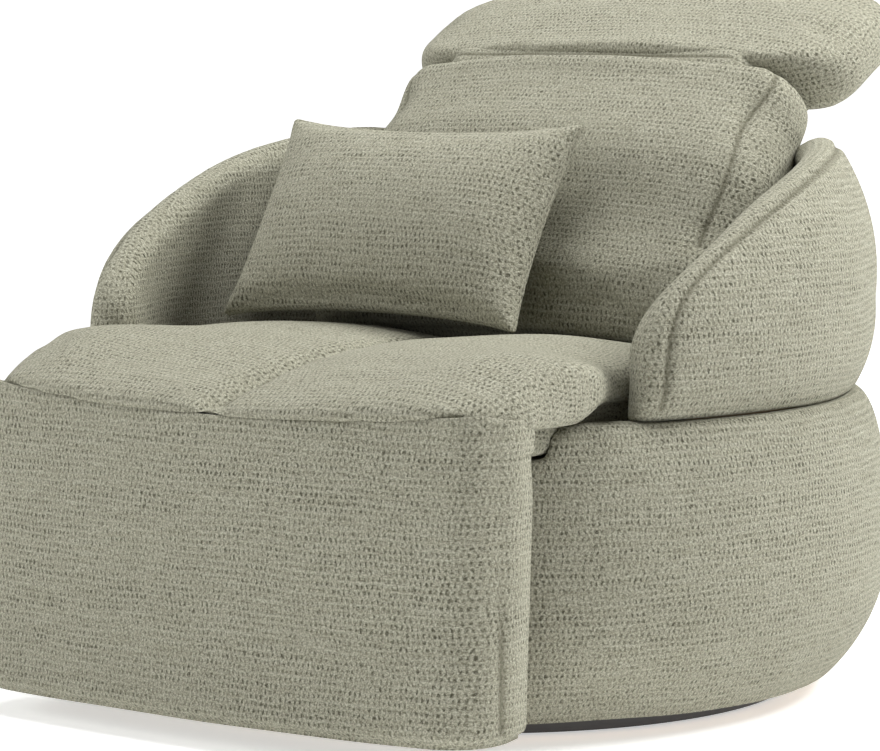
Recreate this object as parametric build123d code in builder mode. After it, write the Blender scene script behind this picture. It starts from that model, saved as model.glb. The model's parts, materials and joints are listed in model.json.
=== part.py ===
from build123d import *
import os
from math import asin, cos, degrees, pi, radians, sin, sqrt

# Swivel recliner: an upholstered tub on a round plinth, with a wrap-around arm shell,
# a seat that glides forward, a back that tips with it, a headrest and a footrest panel.
# Millimetres, +Z up, front towards -Y, origin on the floor under the swivel axis.
# Left and right are the sitter's: left is +X.

# Clearances
PIN_FIT = 0.1
SEAT_GAP = 0.3
SLIDE_PLAY = 0.5
MOVE_GAP = 2.0

# Plinth, base plate and swivel bearing
GLIDE_R = 16.0
GLIDE_H = 3.0
GLIDE_COUNT = 8
CENTRE_PAD_R = 32.0
PLINTH_R = 400.0
PLINTH_WALL = 3.0
PLINTH_FLANGE = 70.0
PLINTH_H = 16.0
BASE_PLATE_T = 5.0
LIGHTENING_HOLE_R = 48.0
LIGHTENING_HOLES = 6
SPINDLE_R = 18.0
SPINDLE_FLANGE_R = 45.0
SPINDLE_FLANGE_T = 4.0
BUSH_WALL = 8.0
BUSH_FLANGE_W = 12.0
BUSH_FLANGE_T = 4.0
NUT_FLATS = 52.0
NUT_T = 12.0
RACE_R = 170.0
RACE_W = 40.0
RACE_T = 6.0
RACE_GAP = 3.0
BALL_R = 5.0
BALL_COUNT = 16

# Chassis board, tub and inner panels
BOARD_T = 15.0
TUB_BOTTOM = 21.0
TUB_INNER_R = 440.0
TUB_FOOT_W = 8.0
TUB_WALL = 80.0
TUB_BULGE_Z = 185.0
TUB_TOP = 374.0
TUB_RIM_W = 36.0
TUB_OPENING_HALF_W = 302.0
TUB_SHOULDER_HALF_W = 342.0
TUB_SHOULDER_Z = 337.0
TUB_OPENING_Z = 100.0
PANEL_X = 300.0
PANEL_T = 18.0
PANEL_HALF_Y = 285.0
CROSS_PANEL_Y = 262.0
CROSS_FRONT_TOP = 120.0
CROSS_REAR_TOP = 240.0

# Arm shell: wall height and plan radius by plan angle, 0 at the side, negative to the front
ARM_END_ANGLE = -33.0
ARM_PEAK_ANGLE = 40.0
ARM_FALL_ANGLE = 34.0
ARM_FRONT_Z = 470.0
ARM_PEAK_Z = 686.0
ARM_REAR_DIP = 110.0
ARM_RISE_POWER = 0.65
ARM_INNER_R = 428.0
ARM_FOOT_W = 44.0
ARM_WALL = 72.0
ARM_BULGE_SHARE = 0.37
ARM_RIDGE_FRONT_R = 464.0
ARM_RIDGE_SIDE_R = 430.0
ARM_EDGE_W = 26.0
ARM_EDGE_DROP = 26.0
ARM_NOSE = 34.0
ARM_FRAME_R = 450.0
ARM_FRAME_T = 12.0
ARM_FRAME_BOTTOM = 180.0
ARM_FRAME_TOP = 440.0
ARM_FRAME_END_ANGLE = -24.0

# Seat glide
GLIDE_TRAVEL = 150.0
RAIL_Z = 268.0
RAIL_D = 18.0
RAIL_H = 44.0
RAIL_WALL = 3.0
RUNNER_HALF_Y = 265.0
RUNNER_WEB_T = 12.0
RUNNER_BAR_T = 10.0

# Seat frame, webbing and cushion
SEAT_RAIL_X = 262.0
SEAT_RAIL_W = 30.0
SEAT_FRAME_BOTTOM = 258.0
SEAT_FRAME_TOP = 335.0
SEAT_FRAME_FRONT = -425.0
SEAT_FRAME_REAR = 190.0
CROSS_RAIL_W = 28.0
REAR_RAIL_Y = 85.0
STRAP_W = 60.0
STRAP_T = 3.0
STRAPS = 5
SEAT_CORE_HALF_W = 335.0
SEAT_EDGE_R = 14.0
SEAT_SIDE_R = 22.0
SEAT_SIDE_RISE = 0.7
SEAT_RISE_L = 260.0
SEAT_FALL_Y = -200.0
SEAT_FALL = 22.0
SEAT_CORNER_L = 110.0
SEAT_NECK_Y = -310.0
SEAT_NECK_L = 65.0
SEAT_NOSE_BOTTOM = 392.0
SEAT_REAR = 20.0
SEAT_FRONT = -546.0
SEAT_CROWN = 456.0
SEAT_ARM_HALF_W = 362.0
SEAT_FLARE_HALF_W = 384.0
SEAT_CHANNEL = 18.0

# Footrest panel and its swing
FOOT_AXIS_Y = -535.0
FOOT_AXIS_Z = 380.0
FOOT_SWING = 80.0
FOOT_TOP = 368.0
FOOT_BOTTOM = 36.0
FOOT_FRONT = -545.0
FOOT_LEAN = 35.0
FOOT_HALF_W = 388.0
FOOT_TAPER = 14.0
FOOT_BOW = 30.0
FOOT_WRAP = 78.0
FOOT_CORNER_R = 76.0
FOOT_PAD_T = 38.0
FOOT_BOARD_T = 12.0
FOOT_EDGE_R = 12.0
TORQUE_TUBE_R = 7.0
FOOT_BOSS_R = 10.0
FOOT_ARM_X = 110.0
FOOT_ARM_T = 6.0
FOOT_ARM_DROP = 140.0
FOOT_ARM_W = 16.0
HINGE_BLOCK_X = 150.0
HINGE_BLOCK_T = 8.0
LEVER_R = 118.0
LEVER_T = 8.0
LEVER_RIM = 7.0
FORK_PIN_R = 5.0
FORK_SLOT_PLAY = 6.0
FORK_CHEEK_T = 6.4
FORK_H = 24.0

# Actuators
ACTUATOR_TUBE_R = 18.0
ACTUATOR_ROD_R = 9.0
ACTUATOR_ENGAGED = 40.0
GEARBOX_W = 64.0
GEARBOX_L = 70.0
GEARBOX_H = 60.0
MOTOR_R = 21.0
MOTOR_L = 120.0
MOTOR_OFFSET = 46.0
RECLINE_X = 95.0
RECLINE_Z = 150.0
RECLINE_TUBE_L = 340.0
FOOT_TUBE_L = 282.0
FOOT_TUBE_INSET = 16.0
STAND_T = 6.0
DRIVE_PLATE_W = 50.0
DRIVE_PLATE_T = 8.0

# Back: rear plane, cushion, frame and pivot
BACK_LEAN = 35.0
BACK_FOOT_Y = 125.0
BACK_FOOT_Z = 377.0
BACK_LENGTH = 385.0
BACK_DEPTH = 161.0
BACK_HALF_W = 328.0
BACK_END_HALF_W = 252.0
BACK_REAR_INSET = 56.0
PAD_FRONT_INSET = 42.0
HINGE_DEPTH = 116.0
BACK_END_TILT = 13.6
BACK_FRAME_T = 22.0
UPRIGHT_SHARE = 0.78
BACK_RAIL_W = 25.0
PIVOT_Y = 150.0
PIVOT_Z = 290.0
PIVOT_PIN_R = 8.0
PIVOT_BOSS_R = 24.0
RECLINE_ANGLE = 9.0
CAM_T = 8.0
CAM_RIM = 14.0
CAM_PLAY = 1.0
GUIDE_PIN_R = 6.0
GUIDE_PIN_BEHIND = 50.0
GUIDE_BRACKET_T = 8.0
GUIDE_BRACKET_H = 70.0

# Headrest
HEAD_ANGLE = 24.0
HEAD_LENGTH = 252.0
HEAD_DEPTH = 114.0
HEAD_HALF_W = 340.0
HEAD_BOARD_T = 12.0
HEAD_BOARD_HALF_W = 240.0
HEAD_BOARD_LENGTH = 180.0
HEAD_GAP = 7.0
HEAD_ROLL = 14.0
LEAF_T = 2.7
LEAF_W = 60.0
LEAF_X = 140.0
KNUCKLE_R = 6.0
HINGE_PIN_R = 3.0

# Pillow
PILLOW_W = 450.0
PILLOW_H = 292.0
PILLOW_T = 112.0
PILLOW_EDGE_T = 16.0
PILLOW_LEAN = 32.0
PILLOW_X = -110.0
PILLOW_FOOT_Y = -92.0
PILLOW_FOOT_Z = 452.65

# Electrics
BATTERY_SIZE = (180.0, 90.0, 62.0)
BATTERY_PLACE = (-140.0, 120.0)
CONTROL_SIZE = (130.0, 84.0, 34.0)
CONTROL_PLACE = (-140.0, -60.0)
CASE_R = 6.0
BEZEL_ANGLE = 192.0
BEZEL_Z = 470.0
BEZEL_W = 76.0
BEZEL_H = 36.0
BEZEL_DEPTH = 16.0
BEZEL_PROUD = 3.0
BEZEL_R = 6.0
ROCKER_W = 26.0
ROCKER_H = 22.0
ROCKER_T = 9.0
ROCKER_PITCH = 34.0
ROCKER_GAP = 0.7
ROCKER_PROUD = 1.5
ROCKER_AXLE_R = 1.5
SOCKET_R = 9.0
SOCKET_WALL = 2.5
SOCKET_DEPTH = 16.0

# Heights of the bearing stack, worked out from the floor up
PLATE_Z = GLIDE_H + PLINTH_WALL
RACE_Z = PLATE_Z + BASE_PLATE_T
UPPER_RACE_Z = RACE_Z + RACE_T + RACE_GAP
BALL_Z = RACE_Z + RACE_T + RACE_GAP / 2
BOARD_Z = UPPER_RACE_Z + RACE_T
FLOOR_Z = BOARD_Z + BOARD_T
NUT_Z = FLOOR_Z + BUSH_FLANGE_T + SLIDE_PLAY

SIDES = (("left", 1), ("right", -1))

os.makedirs("parts", exist_ok=True)


def save(builder, name):
    builder.part.label = name
    export_step(builder.part, f"parts/{name}.step")


def radial_plane(angle):
    """Upright plane through the swivel axis: local x is outward, local y is up."""
    a = radians(angle)
    return Plane(origin=(0, 0, 0), x_dir=(cos(a), sin(a), 0), z_dir=(sin(a), -cos(a), 0))


def side_plane(x):
    """Upright plane across X: local x is +Y, local y is up, normal is +X."""
    return Plane(origin=(x, 0, 0), x_dir=(0, 1, 0), z_dir=(1, 0, 0))


def front_plane(y):
    """Upright plane across Y: local x is +X, local y is up, normal is -Y."""
    return Plane(origin=(0, y, 0), x_dir=(1, 0, 0), z_dir=(0, -1, 0))


# Floor glides: round pads under the plinth flange, and one under the spindle
with BuildPart() as floor_glides:
    with BuildSketch(Plane.XY):
        with PolarLocations(PLINTH_R - PLINTH_FLANGE / 2, GLIDE_COUNT):
            Circle(GLIDE_R)
    extrude(amount=GLIDE_H)
    with BuildSketch(Plane.XY):
        Circle(CENTRE_PAD_R)
    extrude(amount=PLATE_Z)
save(floor_glides, "floor_glides")

# Plinth ring: an angle section, flange on the glides and wall towards the tub
with BuildPart() as plinth_ring:
    with BuildSketch(Plane.XZ):
        with BuildLine():
            Polyline(
                (PLINTH_R - PLINTH_FLANGE, GLIDE_H),
                (PLINTH_R, GLIDE_H),
                (PLINTH_R, GLIDE_H + PLINTH_H),
                (PLINTH_R - PLINTH_WALL, GLIDE_H + PLINTH_H),
                (PLINTH_R - PLINTH_WALL, PLATE_Z),
                (PLINTH_R - PLINTH_FLANGE, PLATE_Z),
                close=True,
            )
        make_face()
    revolve(axis=Axis.Z)
save(plinth_ring, "plinth_ring")

# Base plate: round steel plate on the flange
LIGHTENING_CIRCLE_R = (RACE_R + RACE_W / 2 + PLINTH_R - PLINTH_FLANGE) / 2
with BuildPart() as base_plate:
    with BuildSketch(Plane.XY.offset(PLATE_Z)):
        Circle(PLINTH_R - PLINTH_WALL - SEAT_GAP)
        Circle(SPINDLE_R + SEAT_GAP, mode=Mode.SUBTRACT)
        with PolarLocations(LIGHTENING_CIRCLE_R, LIGHTENING_HOLES):
            Circle(LIGHTENING_HOLE_R, mode=Mode.SUBTRACT)
    extrude(amount=BASE_PLATE_T)
save(base_plate, "base_plate")

# Swivel spindle: a flanged post through the base plate
with BuildPart() as swivel_spindle:
    with BuildSketch(Plane.XY.offset(RACE_Z)):
        Circle(SPINDLE_FLANGE_R)
    extrude(amount=SPINDLE_FLANGE_T)
    with BuildSketch(Plane.XY.offset(PLATE_Z)):
        Circle(SPINDLE_R)
    extrude(amount=NUT_Z + NUT_T + SPINDLE_FLANGE_T - PLATE_Z)
save(swivel_spindle, "swivel_spindle")

# Spindle nut above the bush
with BuildPart() as spindle_nut:
    with BuildSketch(Plane.XY.offset(NUT_Z)):
        RegularPolygon(NUT_FLATS / 2, 6, major_radius=False)
        Circle(SPINDLE_R + PIN_FIT, mode=Mode.SUBTRACT)
    extrude(amount=NUT_T)
save(spindle_nut, "spindle_nut")

# Bearing races: flat rings with a ball groove
for race_name, race_z in (("bearing_lower_race", RACE_Z), ("bearing_upper_race", UPPER_RACE_Z)):
    with BuildPart() as bearing_race:
        with BuildSketch(Plane.XZ):
            with Locations((RACE_R, race_z + RACE_T / 2)):
                Rectangle(RACE_W, RACE_T)
            with Locations((RACE_R, BALL_Z)):
                Circle(BALL_R + SEAT_GAP, mode=Mode.SUBTRACT)
        revolve(axis=Axis.Z)
    save(bearing_race, race_name)

# Bearing balls
with BuildPart() as bearing_balls:
    with Locations((0, 0, BALL_Z)):
        with PolarLocations(RACE_R, BALL_COUNT):
            Sphere(BALL_R)
save(bearing_balls, "bearing_balls")

# Swivel bush: flanged sleeve in the chassis board
BUSH_R = SPINDLE_R + PIN_FIT + BUSH_WALL
with BuildPart() as swivel_bush:
    with BuildSketch(Plane.XY.offset(BOARD_Z)):
        Circle(BUSH_R)
    extrude(amount=BOARD_T)
    with BuildSketch(Plane.XY.offset(FLOOR_Z)):
        Circle(BUSH_R + BUSH_FLANGE_W)
    extrude(amount=BUSH_FLANGE_T)
    with Locations((0, 0, BOARD_Z)):
        Hole(SPINDLE_R + PIN_FIT)
save(swivel_bush, "swivel_bush")

# Chassis board: round plywood floor of the tub, on the upper race
with BuildPart() as chassis_board:
    with BuildSketch(Plane.XY.offset(BOARD_Z)):
        Circle(TUB_INNER_R - SEAT_GAP)
        Circle(BUSH_R + SEAT_GAP, mode=Mode.SUBTRACT)
    extrude(amount=BOARD_T)
save(chassis_board, "chassis_board")

# Arm frame: bent plywood band inside the tub wall and the arm shell
with BuildPart() as arm_frame:
    with BuildSketch(radial_plane(ARM_FRAME_END_ANGLE)):
        with Locations((ARM_FRAME_R + ARM_FRAME_T / 2, (ARM_FRAME_BOTTOM + ARM_FRAME_TOP) / 2)):
            Rectangle(ARM_FRAME_T, ARM_FRAME_TOP - ARM_FRAME_BOTTOM)
    revolve(axis=Axis.Z, revolution_arc=180 - 2 * ARM_FRAME_END_ANGLE)
save(arm_frame, "arm_frame")

# Tub: padded drum with a swelling wall, open at the front behind the footrest panel,
# wider where the seat cushion passes
TUB_FOOT_R = TUB_INNER_R + TUB_FOOT_W
TUB_BULGE_R = TUB_INNER_R + TUB_WALL
TUB_RIM_R = TUB_INNER_R + TUB_RIM_W
TUB_SWELL = TUB_BULGE_R - TUB_FOOT_R
TUB_BELLY_H = TUB_BULGE_Z - TUB_BOTTOM
TUB_BELLY_R = (TUB_SWELL**2 + TUB_BELLY_H**2) / (2 * TUB_SWELL)
half_belly = asin(TUB_BELLY_H / TUB_BELLY_R) / 2
belly = (TUB_BULGE_R - TUB_BELLY_R * (1 - cos(half_belly)), TUB_BULGE_Z - TUB_BELLY_R * sin(half_belly))
with BuildPart() as tub_shell:
    with BuildSketch(Plane.XZ):
        with BuildLine():
            Line((TUB_INNER_R, TUB_BOTTOM), (TUB_FOOT_R, TUB_BOTTOM))
            ThreePointArc((TUB_FOOT_R, TUB_BOTTOM), belly, (TUB_BULGE_R, TUB_BULGE_Z))
            EllipticalCenterArc(
                (TUB_RIM_R, TUB_BULGE_Z),
                TUB_BULGE_R - TUB_RIM_R,
                TUB_TOP - TUB_BULGE_Z,
                start_angle=0,
                arc_size=90,
            )
            Line((TUB_RIM_R, TUB_TOP), (TUB_INNER_R, TUB_TOP))
            Line((TUB_INNER_R, TUB_TOP), (TUB_INNER_R, TUB_BOTTOM))
        make_face()
    revolve(axis=Axis.Z)
    for half_w, low in ((TUB_OPENING_HALF_W, TUB_OPENING_Z), (TUB_SHOULDER_HALF_W, TUB_SHOULDER_Z)):
        with BuildSketch(Plane.XY.offset(low)):
            with Locations((0, -TUB_BULGE_R)):
                Rectangle(2 * half_w, TUB_BULGE_R)
        extrude(amount=TUB_TOP, mode=Mode.SUBTRACT)
    with BuildSketch(front_plane(TUB_BULGE_R - SOCKET_DEPTH)):
        with Locations((0, TUB_BULGE_Z)):
            Circle(SOCKET_R + SEAT_GAP)
    extrude(amount=-2 * SOCKET_DEPTH, mode=Mode.SUBTRACT)
    add(arm_frame.part, mode=Mode.SUBTRACT)
save(tub_shell, "tub_shell")


def arm_top(angle):
    """Ridge height of the arm shell at a plan angle, 0 at the side and 90 at the rear."""
    rise = min(1.0, (angle - ARM_END_ANGLE) / (ARM_PEAK_ANGLE - ARM_END_ANGLE))
    fall = max(0.0, (angle - ARM_FALL_ANGLE) / (90 - ARM_FALL_ANGLE))
    risen = ARM_FRONT_Z + (ARM_PEAK_Z - ARM_FRONT_Z) * sin(rise * pi / 2) ** ARM_RISE_POWER
    return risen - ARM_REAR_DIP * (1 - cos(fall * pi)) / 2


def arm_ridge(angle):
    """Plan radius of the ridge: it leans in as the wall rises towards the side."""
    share = min(1.0, (angle - ARM_END_ANGLE) / -ARM_END_ANGLE)
    return ARM_RIDGE_FRONT_R + (ARM_RIDGE_SIDE_R - ARM_RIDGE_FRONT_R) * (1 - cos(share * pi)) / 2


def arm_points(angle, swell):
    """Corners of the wall profile; swell under 1 draws it in for the rounded front nose."""
    plan = angle if angle <= 90 else 180 - angle
    middle = ARM_INNER_R + ARM_WALL / 2
    crest = arm_top(plan) - (1 - swell) * ARM_EDGE_DROP
    bulge_z = TUB_TOP + ARM_BULGE_SHARE * (crest - TUB_TOP)

    def drawn(radius):
        return middle + swell * (radius - middle)

    ridge = arm_ridge(plan)
    return {
        "inner": (drawn(ARM_INNER_R), TUB_TOP),
        "foot": (drawn(ARM_INNER_R + ARM_FOOT_W), TUB_TOP),
        "bulge": (drawn(ARM_INNER_R + ARM_WALL), bulge_z),
        "outer_edge": (drawn(ridge + ARM_EDGE_W), crest - ARM_EDGE_DROP / 2),
        "ridge": (drawn(ridge), crest),
        "inner_edge": (drawn(ridge - ARM_EDGE_W), crest - ARM_EDGE_DROP),
    }


def between(start, end, share_x, share_y):
    """Point at separate shares of the way along x and y."""
    return (start[0] + share_x * (end[0] - start[0]), start[1] + share_y * (end[1] - start[1]))


# Arm shell: one padded wall round the back, lofted through upright profiles
NOSE_ANGLE = degrees(ARM_NOSE / ARM_INNER_R)
NOSE_STEPS = ((0.0, 0.30), (0.12, 0.62), (0.42, 0.88), (1.0, 1.0))
ARM_ANGLES = [(ARM_END_ANGLE + step * NOSE_ANGLE, swell) for step, swell in NOSE_STEPS]
ARM_ANGLES += [(angle, 1.0) for angle in (-23, -15, -6, 5, 20, 38, 55, 72)]
ARM_ANGLES += [(90, 1.0)] + [(180 - angle, swell) for angle, swell in reversed(ARM_ANGLES)]
BEZEL_FACE_R = ARM_INNER_R + ARM_WALL + BEZEL_PROUD
bezel_dir = (cos(radians(BEZEL_ANGLE)), sin(radians(BEZEL_ANGLE)), 0)
bezel_across = (-bezel_dir[1], bezel_dir[0], 0)


def bezel_plane(radius):
    """Plane of the switch panel: local x runs level along the arm, local y is up."""
    return Plane(
        origin=(bezel_dir[0] * radius, bezel_dir[1] * radius, BEZEL_Z), x_dir=bezel_across, z_dir=bezel_dir
    )


with BuildPart() as arm_shell:
    for angle, swell in ARM_ANGLES:
        p = arm_points(angle, swell)
        with BuildSketch(radial_plane(angle)):
            with BuildLine():
                Line(p["inner"], p["foot"])
                ThreePointArc(p["foot"], between(p["foot"], p["bulge"], 0.75, 0.4), p["bulge"])
                ThreePointArc(p["bulge"], between(p["bulge"], p["outer_edge"], 0.27, 0.62), p["outer_edge"])
                ThreePointArc(p["outer_edge"], p["ridge"], p["inner_edge"])
                Line(p["inner_edge"], p["inner"])
            make_face()
    loft()
    add(arm_frame.part, mode=Mode.SUBTRACT)
    with BuildSketch(bezel_plane(BEZEL_FACE_R)):
        RectangleRounded(BEZEL_W, BEZEL_H, BEZEL_R)
    extrude(amount=-BEZEL_DEPTH, mode=Mode.SUBTRACT)
save(arm_shell, "arm_shell")

# Side panels: plywood walls that carry the glide rails
PANEL_TOP = RAIL_Z + RAIL_H / 2 + MOVE_GAP
with BuildPart() as side_panels:
    for side, sign in SIDES:
        with BuildSketch(side_plane(sign * PANEL_X)):
            with Locations((0, (FLOOR_Z + PANEL_TOP) / 2)):
                Rectangle(2 * PANEL_HALF_Y, PANEL_TOP - FLOOR_Z)
        extrude(amount=sign * PANEL_T)
save(side_panels, "side_panels")

# Cross panels between the side panels
CROSS_PANELS = (("front", -CROSS_PANEL_Y, CROSS_FRONT_TOP, 1), ("rear", CROSS_PANEL_Y, CROSS_REAR_TOP, -1))
for end, y, top, outward in CROSS_PANELS:
    with BuildPart() as cross_panel:
        with BuildSketch(front_plane(y)):
            with Locations((0, (FLOOR_Z + top) / 2)):
                Rectangle(2 * PANEL_X, top - FLOOR_Z)
        extrude(amount=outward * PANEL_T)
    save(cross_panel, f"cross_panel_{end}")

# Glide rails: open channels on the inner faces of the side panels
with BuildPart() as glide_rails:
    for side, sign in SIDES:
        with BuildSketch(front_plane(PANEL_HALF_Y)):
            with Locations((sign * (PANEL_X - RAIL_D / 2), RAIL_Z)):
                Rectangle(RAIL_D, RAIL_H)
            with Locations((sign * (PANEL_X - RAIL_D / 2 - RAIL_WALL), RAIL_Z)):
                Rectangle(RAIL_D, RAIL_H - 2 * RAIL_WALL, mode=Mode.SUBTRACT)
        extrude(amount=2 * PANEL_HALF_Y)
save(glide_rails, "glide_rails")

# Seat runners: a bar inside each channel, on a web from the seat rail
RUNNER_OUTER_X = PANEL_X - RAIL_WALL - SLIDE_PLAY
with BuildPart() as seat_runners:
    for side, sign in SIDES:
        with BuildSketch(front_plane(RUNNER_HALF_Y)):
            with Locations((sign * (RUNNER_OUTER_X - RUNNER_BAR_T / 2), RAIL_Z)):
                Rectangle(RUNNER_BAR_T, RAIL_H - 2 * RAIL_WALL - 2 * SLIDE_PLAY)
            with Locations((sign * (SEAT_RAIL_X + RUNNER_OUTER_X) / 2, RAIL_Z)):
                Rectangle(RUNNER_OUTER_X - SEAT_RAIL_X, RUNNER_WEB_T)
        extrude(amount=2 * RUNNER_HALF_Y)
save(seat_runners, "seat_runners")

# Places along the footrest drive, from the swing axis back to the gear box
LEVER_HALF_SWING = radians(FOOT_SWING / 2)
FORK_Y = FOOT_AXIS_Y + LEVER_R * sin(LEVER_HALF_SWING)
FORK_Z = FOOT_AXIS_Z - LEVER_R * cos(LEVER_HALF_SWING)
FORK_STROKE = 2 * LEVER_R * sin(LEVER_HALF_SWING)
FOOT_TUBE_FRONT = SEAT_FRAME_FRONT + FOOT_TUBE_INSET
FOOT_GEARBOX_Y = FOOT_TUBE_FRONT + FOOT_TUBE_L
MID_RAIL_Y = FOOT_GEARBOX_Y + GEARBOX_L

# Seat side rails, with the holes for the back pivot pins
SEAT_FRAME_MIDDLE = ((SEAT_FRAME_FRONT + SEAT_FRAME_REAR) / 2, (SEAT_FRAME_BOTTOM + SEAT_FRAME_TOP) / 2)
with BuildPart() as seat_rails:
    for side, sign in SIDES:
        with BuildSketch(side_plane(sign * SEAT_RAIL_X)):
            with Locations(SEAT_FRAME_MIDDLE):
                Rectangle(SEAT_FRAME_REAR - SEAT_FRAME_FRONT, SEAT_FRAME_TOP - SEAT_FRAME_BOTTOM)
            with Locations((PIVOT_Y, PIVOT_Z)):
                Circle(PIVOT_PIN_R + PIN_FIT, mode=Mode.SUBTRACT)
        extrude(amount=-sign * SEAT_RAIL_W)
save(seat_rails, "seat_rails")

# Seat cross rails: front, middle and rear, the front one pierced for the footrest actuator
SEAT_INSIDE_HALF_W = SEAT_RAIL_X - SEAT_RAIL_W
with BuildPart() as seat_cross_rails:
    with BuildSketch(Plane.XY.offset(SEAT_FRAME_BOTTOM)):
        for y in (SEAT_FRAME_FRONT, MID_RAIL_Y, REAR_RAIL_Y):
            with Locations((0, y + CROSS_RAIL_W / 2)):
                Rectangle(2 * SEAT_INSIDE_HALF_W, CROSS_RAIL_W)
    extrude(amount=SEAT_FRAME_TOP - SEAT_FRAME_BOTTOM)
    with BuildSketch(front_plane(SEAT_FRAME_FRONT + CROSS_RAIL_W)):
        with Locations((0, FORK_Z)):
            Circle(ACTUATOR_TUBE_R + SEAT_GAP)
    extrude(amount=CROSS_RAIL_W, mode=Mode.SUBTRACT)
save(seat_cross_rails, "seat_cross_rails")

# Seat webbing: lengthwise straps on the cross rails, crosswise straps sewn on top
STRAP_REAR = REAR_RAIL_Y + CROSS_RAIL_W
STRAP_SPREAD = SEAT_INSIDE_HALF_W - STRAP_W / 2
with BuildPart() as seat_webbing:
    with BuildSketch(Plane.XY.offset(SEAT_FRAME_TOP)):
        for i in range(STRAPS):
            x = STRAP_SPREAD * (2 * i / (STRAPS - 1) - 1)
            with Locations((x, (SEAT_FRAME_FRONT + STRAP_REAR) / 2)):
                Rectangle(STRAP_W, STRAP_REAR - SEAT_FRAME_FRONT)
    extrude(amount=STRAP_T)
    with BuildSketch(Plane.XY.offset(SEAT_FRAME_TOP + STRAP_T)):
        for i in range(STRAPS):
            y = SEAT_FRAME_FRONT + (STRAP_REAR - SEAT_FRAME_FRONT) * (i + 0.5) / STRAPS
            with Locations((0, y)):
                Rectangle(2 * SEAT_RAIL_X, STRAP_W)
    extrude(amount=STRAP_T)
save(seat_webbing, "seat_webbing")


def seat_crown(y):
    """Crown height of the seat lobes: a long round rise from the front, a slow fall to the back."""
    rise = min(1.0, (y - SEAT_FRONT) / SEAT_RISE_L)
    fall = max(0.0, (y - SEAT_FALL_Y) / (SEAT_REAR - SEAT_FALL_Y))
    height = SEAT_CROWN - SEAT_NOSE_BOTTOM
    return SEAT_NOSE_BOTTOM + height * (0.1 + 0.9 * sin(rise * pi / 2) ** 0.75) - SEAT_FALL * fall**2


def seat_half_width(y):
    """Half width of the seat: rounded front corners, then drawn in to pass between the arms."""
    corner = min(1.0, (y - SEAT_FRONT) / SEAT_CORNER_L)
    neck = min(1.0, max(0.0, (y - SEAT_NECK_Y) / SEAT_NECK_L))
    front = SEAT_FLARE_HALF_W * (1 - (1 - corner) ** 3) ** (1 / 3)
    return front - (SEAT_FLARE_HALF_W - SEAT_ARM_HALF_W) * (1 - cos(neck * pi)) / 2


# Seat cushion: two puffed lobes with a sewn channel between them, over a plain core
CUSHION_Z = SEAT_FRAME_TOP + 2 * STRAP_T
SEAT_CORNER_END = SEAT_FRONT + SEAT_CORNER_L
SEAT_NECK_END = SEAT_NECK_Y + SEAT_NECK_L
corner_stations = [SEAT_FRONT + share * SEAT_CORNER_L for share in (0.04, 0.14, 0.32, 0.6, 1.0)]
SEAT_BLOCKS = (
    corner_stations,
    (SEAT_CORNER_END, (SEAT_CORNER_END + SEAT_NECK_Y) / 2, SEAT_NECK_Y),
    (SEAT_NECK_Y, (SEAT_NECK_Y + SEAT_NECK_END) / 2, SEAT_NECK_END),
    (SEAT_NECK_END, (SEAT_NECK_END + SEAT_REAR) / 2, SEAT_REAR),
)
with BuildPart() as seat_cushion:
    for block in SEAT_BLOCKS:
        for y in block:
            half_w = seat_half_width(y)
            crown = seat_crown(y)
            edge_rise = SEAT_SIDE_RISE * (crown - SEAT_NOSE_BOTTOM)
            inset = min(SEAT_SIDE_R, edge_rise / 2)
            edge = (half_w - inset, SEAT_NOSE_BOTTOM + edge_rise)
            foot = (half_w - inset / 2, SEAT_NOSE_BOTTOM)
            valley = (0, crown - min(SEAT_CHANNEL, 0.4 * (crown - SEAT_NOSE_BOTTOM)))
            with BuildSketch(front_plane(y)):
                with BuildLine():
                    side_z = (foot[1] + edge[1]) / 2
                    Line((-foot[0], foot[1]), foot)
                    ThreePointArc(foot, (half_w, side_z), edge)
                    ThreePointArc(edge, (0.52 * half_w, crown), valley)
                    ThreePointArc(valley, (-0.52 * half_w, crown), (-edge[0], edge[1]))
                    ThreePointArc((-edge[0], edge[1]), (-half_w, side_z), (-foot[0], foot[1]))
                make_face()
        loft()
    with BuildSketch(Plane.XY.offset(CUSHION_Z)):
        with Locations((0, (SEAT_FRAME_FRONT + SEAT_REAR) / 2)):
            RectangleRounded(2 * SEAT_CORE_HALF_W, SEAT_REAR - SEAT_FRAME_FRONT, SEAT_EDGE_R)
    extrude(amount=SEAT_NOSE_BOTTOM - CUSHION_Z)
save(seat_cushion, "seat_cushion")


def gear_motor(x, y, z, motor_side):
    """Sealed gear box with its motor lying beside the actuator tube."""
    with BuildPart() as drive:
        with BuildSketch(front_plane(y + GEARBOX_L)):
            with Locations((x, z)):
                RectangleRounded(GEARBOX_W, GEARBOX_H, CASE_R)
            with Locations((x + motor_side * MOTOR_OFFSET, z)):
                Circle(MOTOR_R + CASE_R)
        extrude(amount=GEARBOX_L)
        with BuildSketch(front_plane(y)):
            with Locations((x + motor_side * MOTOR_OFFSET, z)):
                Circle(MOTOR_R)
        extrude(amount=MOTOR_L)
    return drive


def actuator_tube(x, front_y, z, length, bore_length):
    """Closed tube with a blind bore from its front end."""
    with BuildPart() as tube:
        with BuildSketch(front_plane(front_y + length)):
            with Locations((x, z)):
                Circle(ACTUATOR_TUBE_R)
        extrude(amount=length)
        with BuildSketch(front_plane(front_y + bore_length)):
            with Locations((x, z)):
                Circle(ACTUATOR_ROD_R + SEAT_GAP)
        extrude(amount=bore_length, mode=Mode.SUBTRACT)
    return tube


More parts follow.
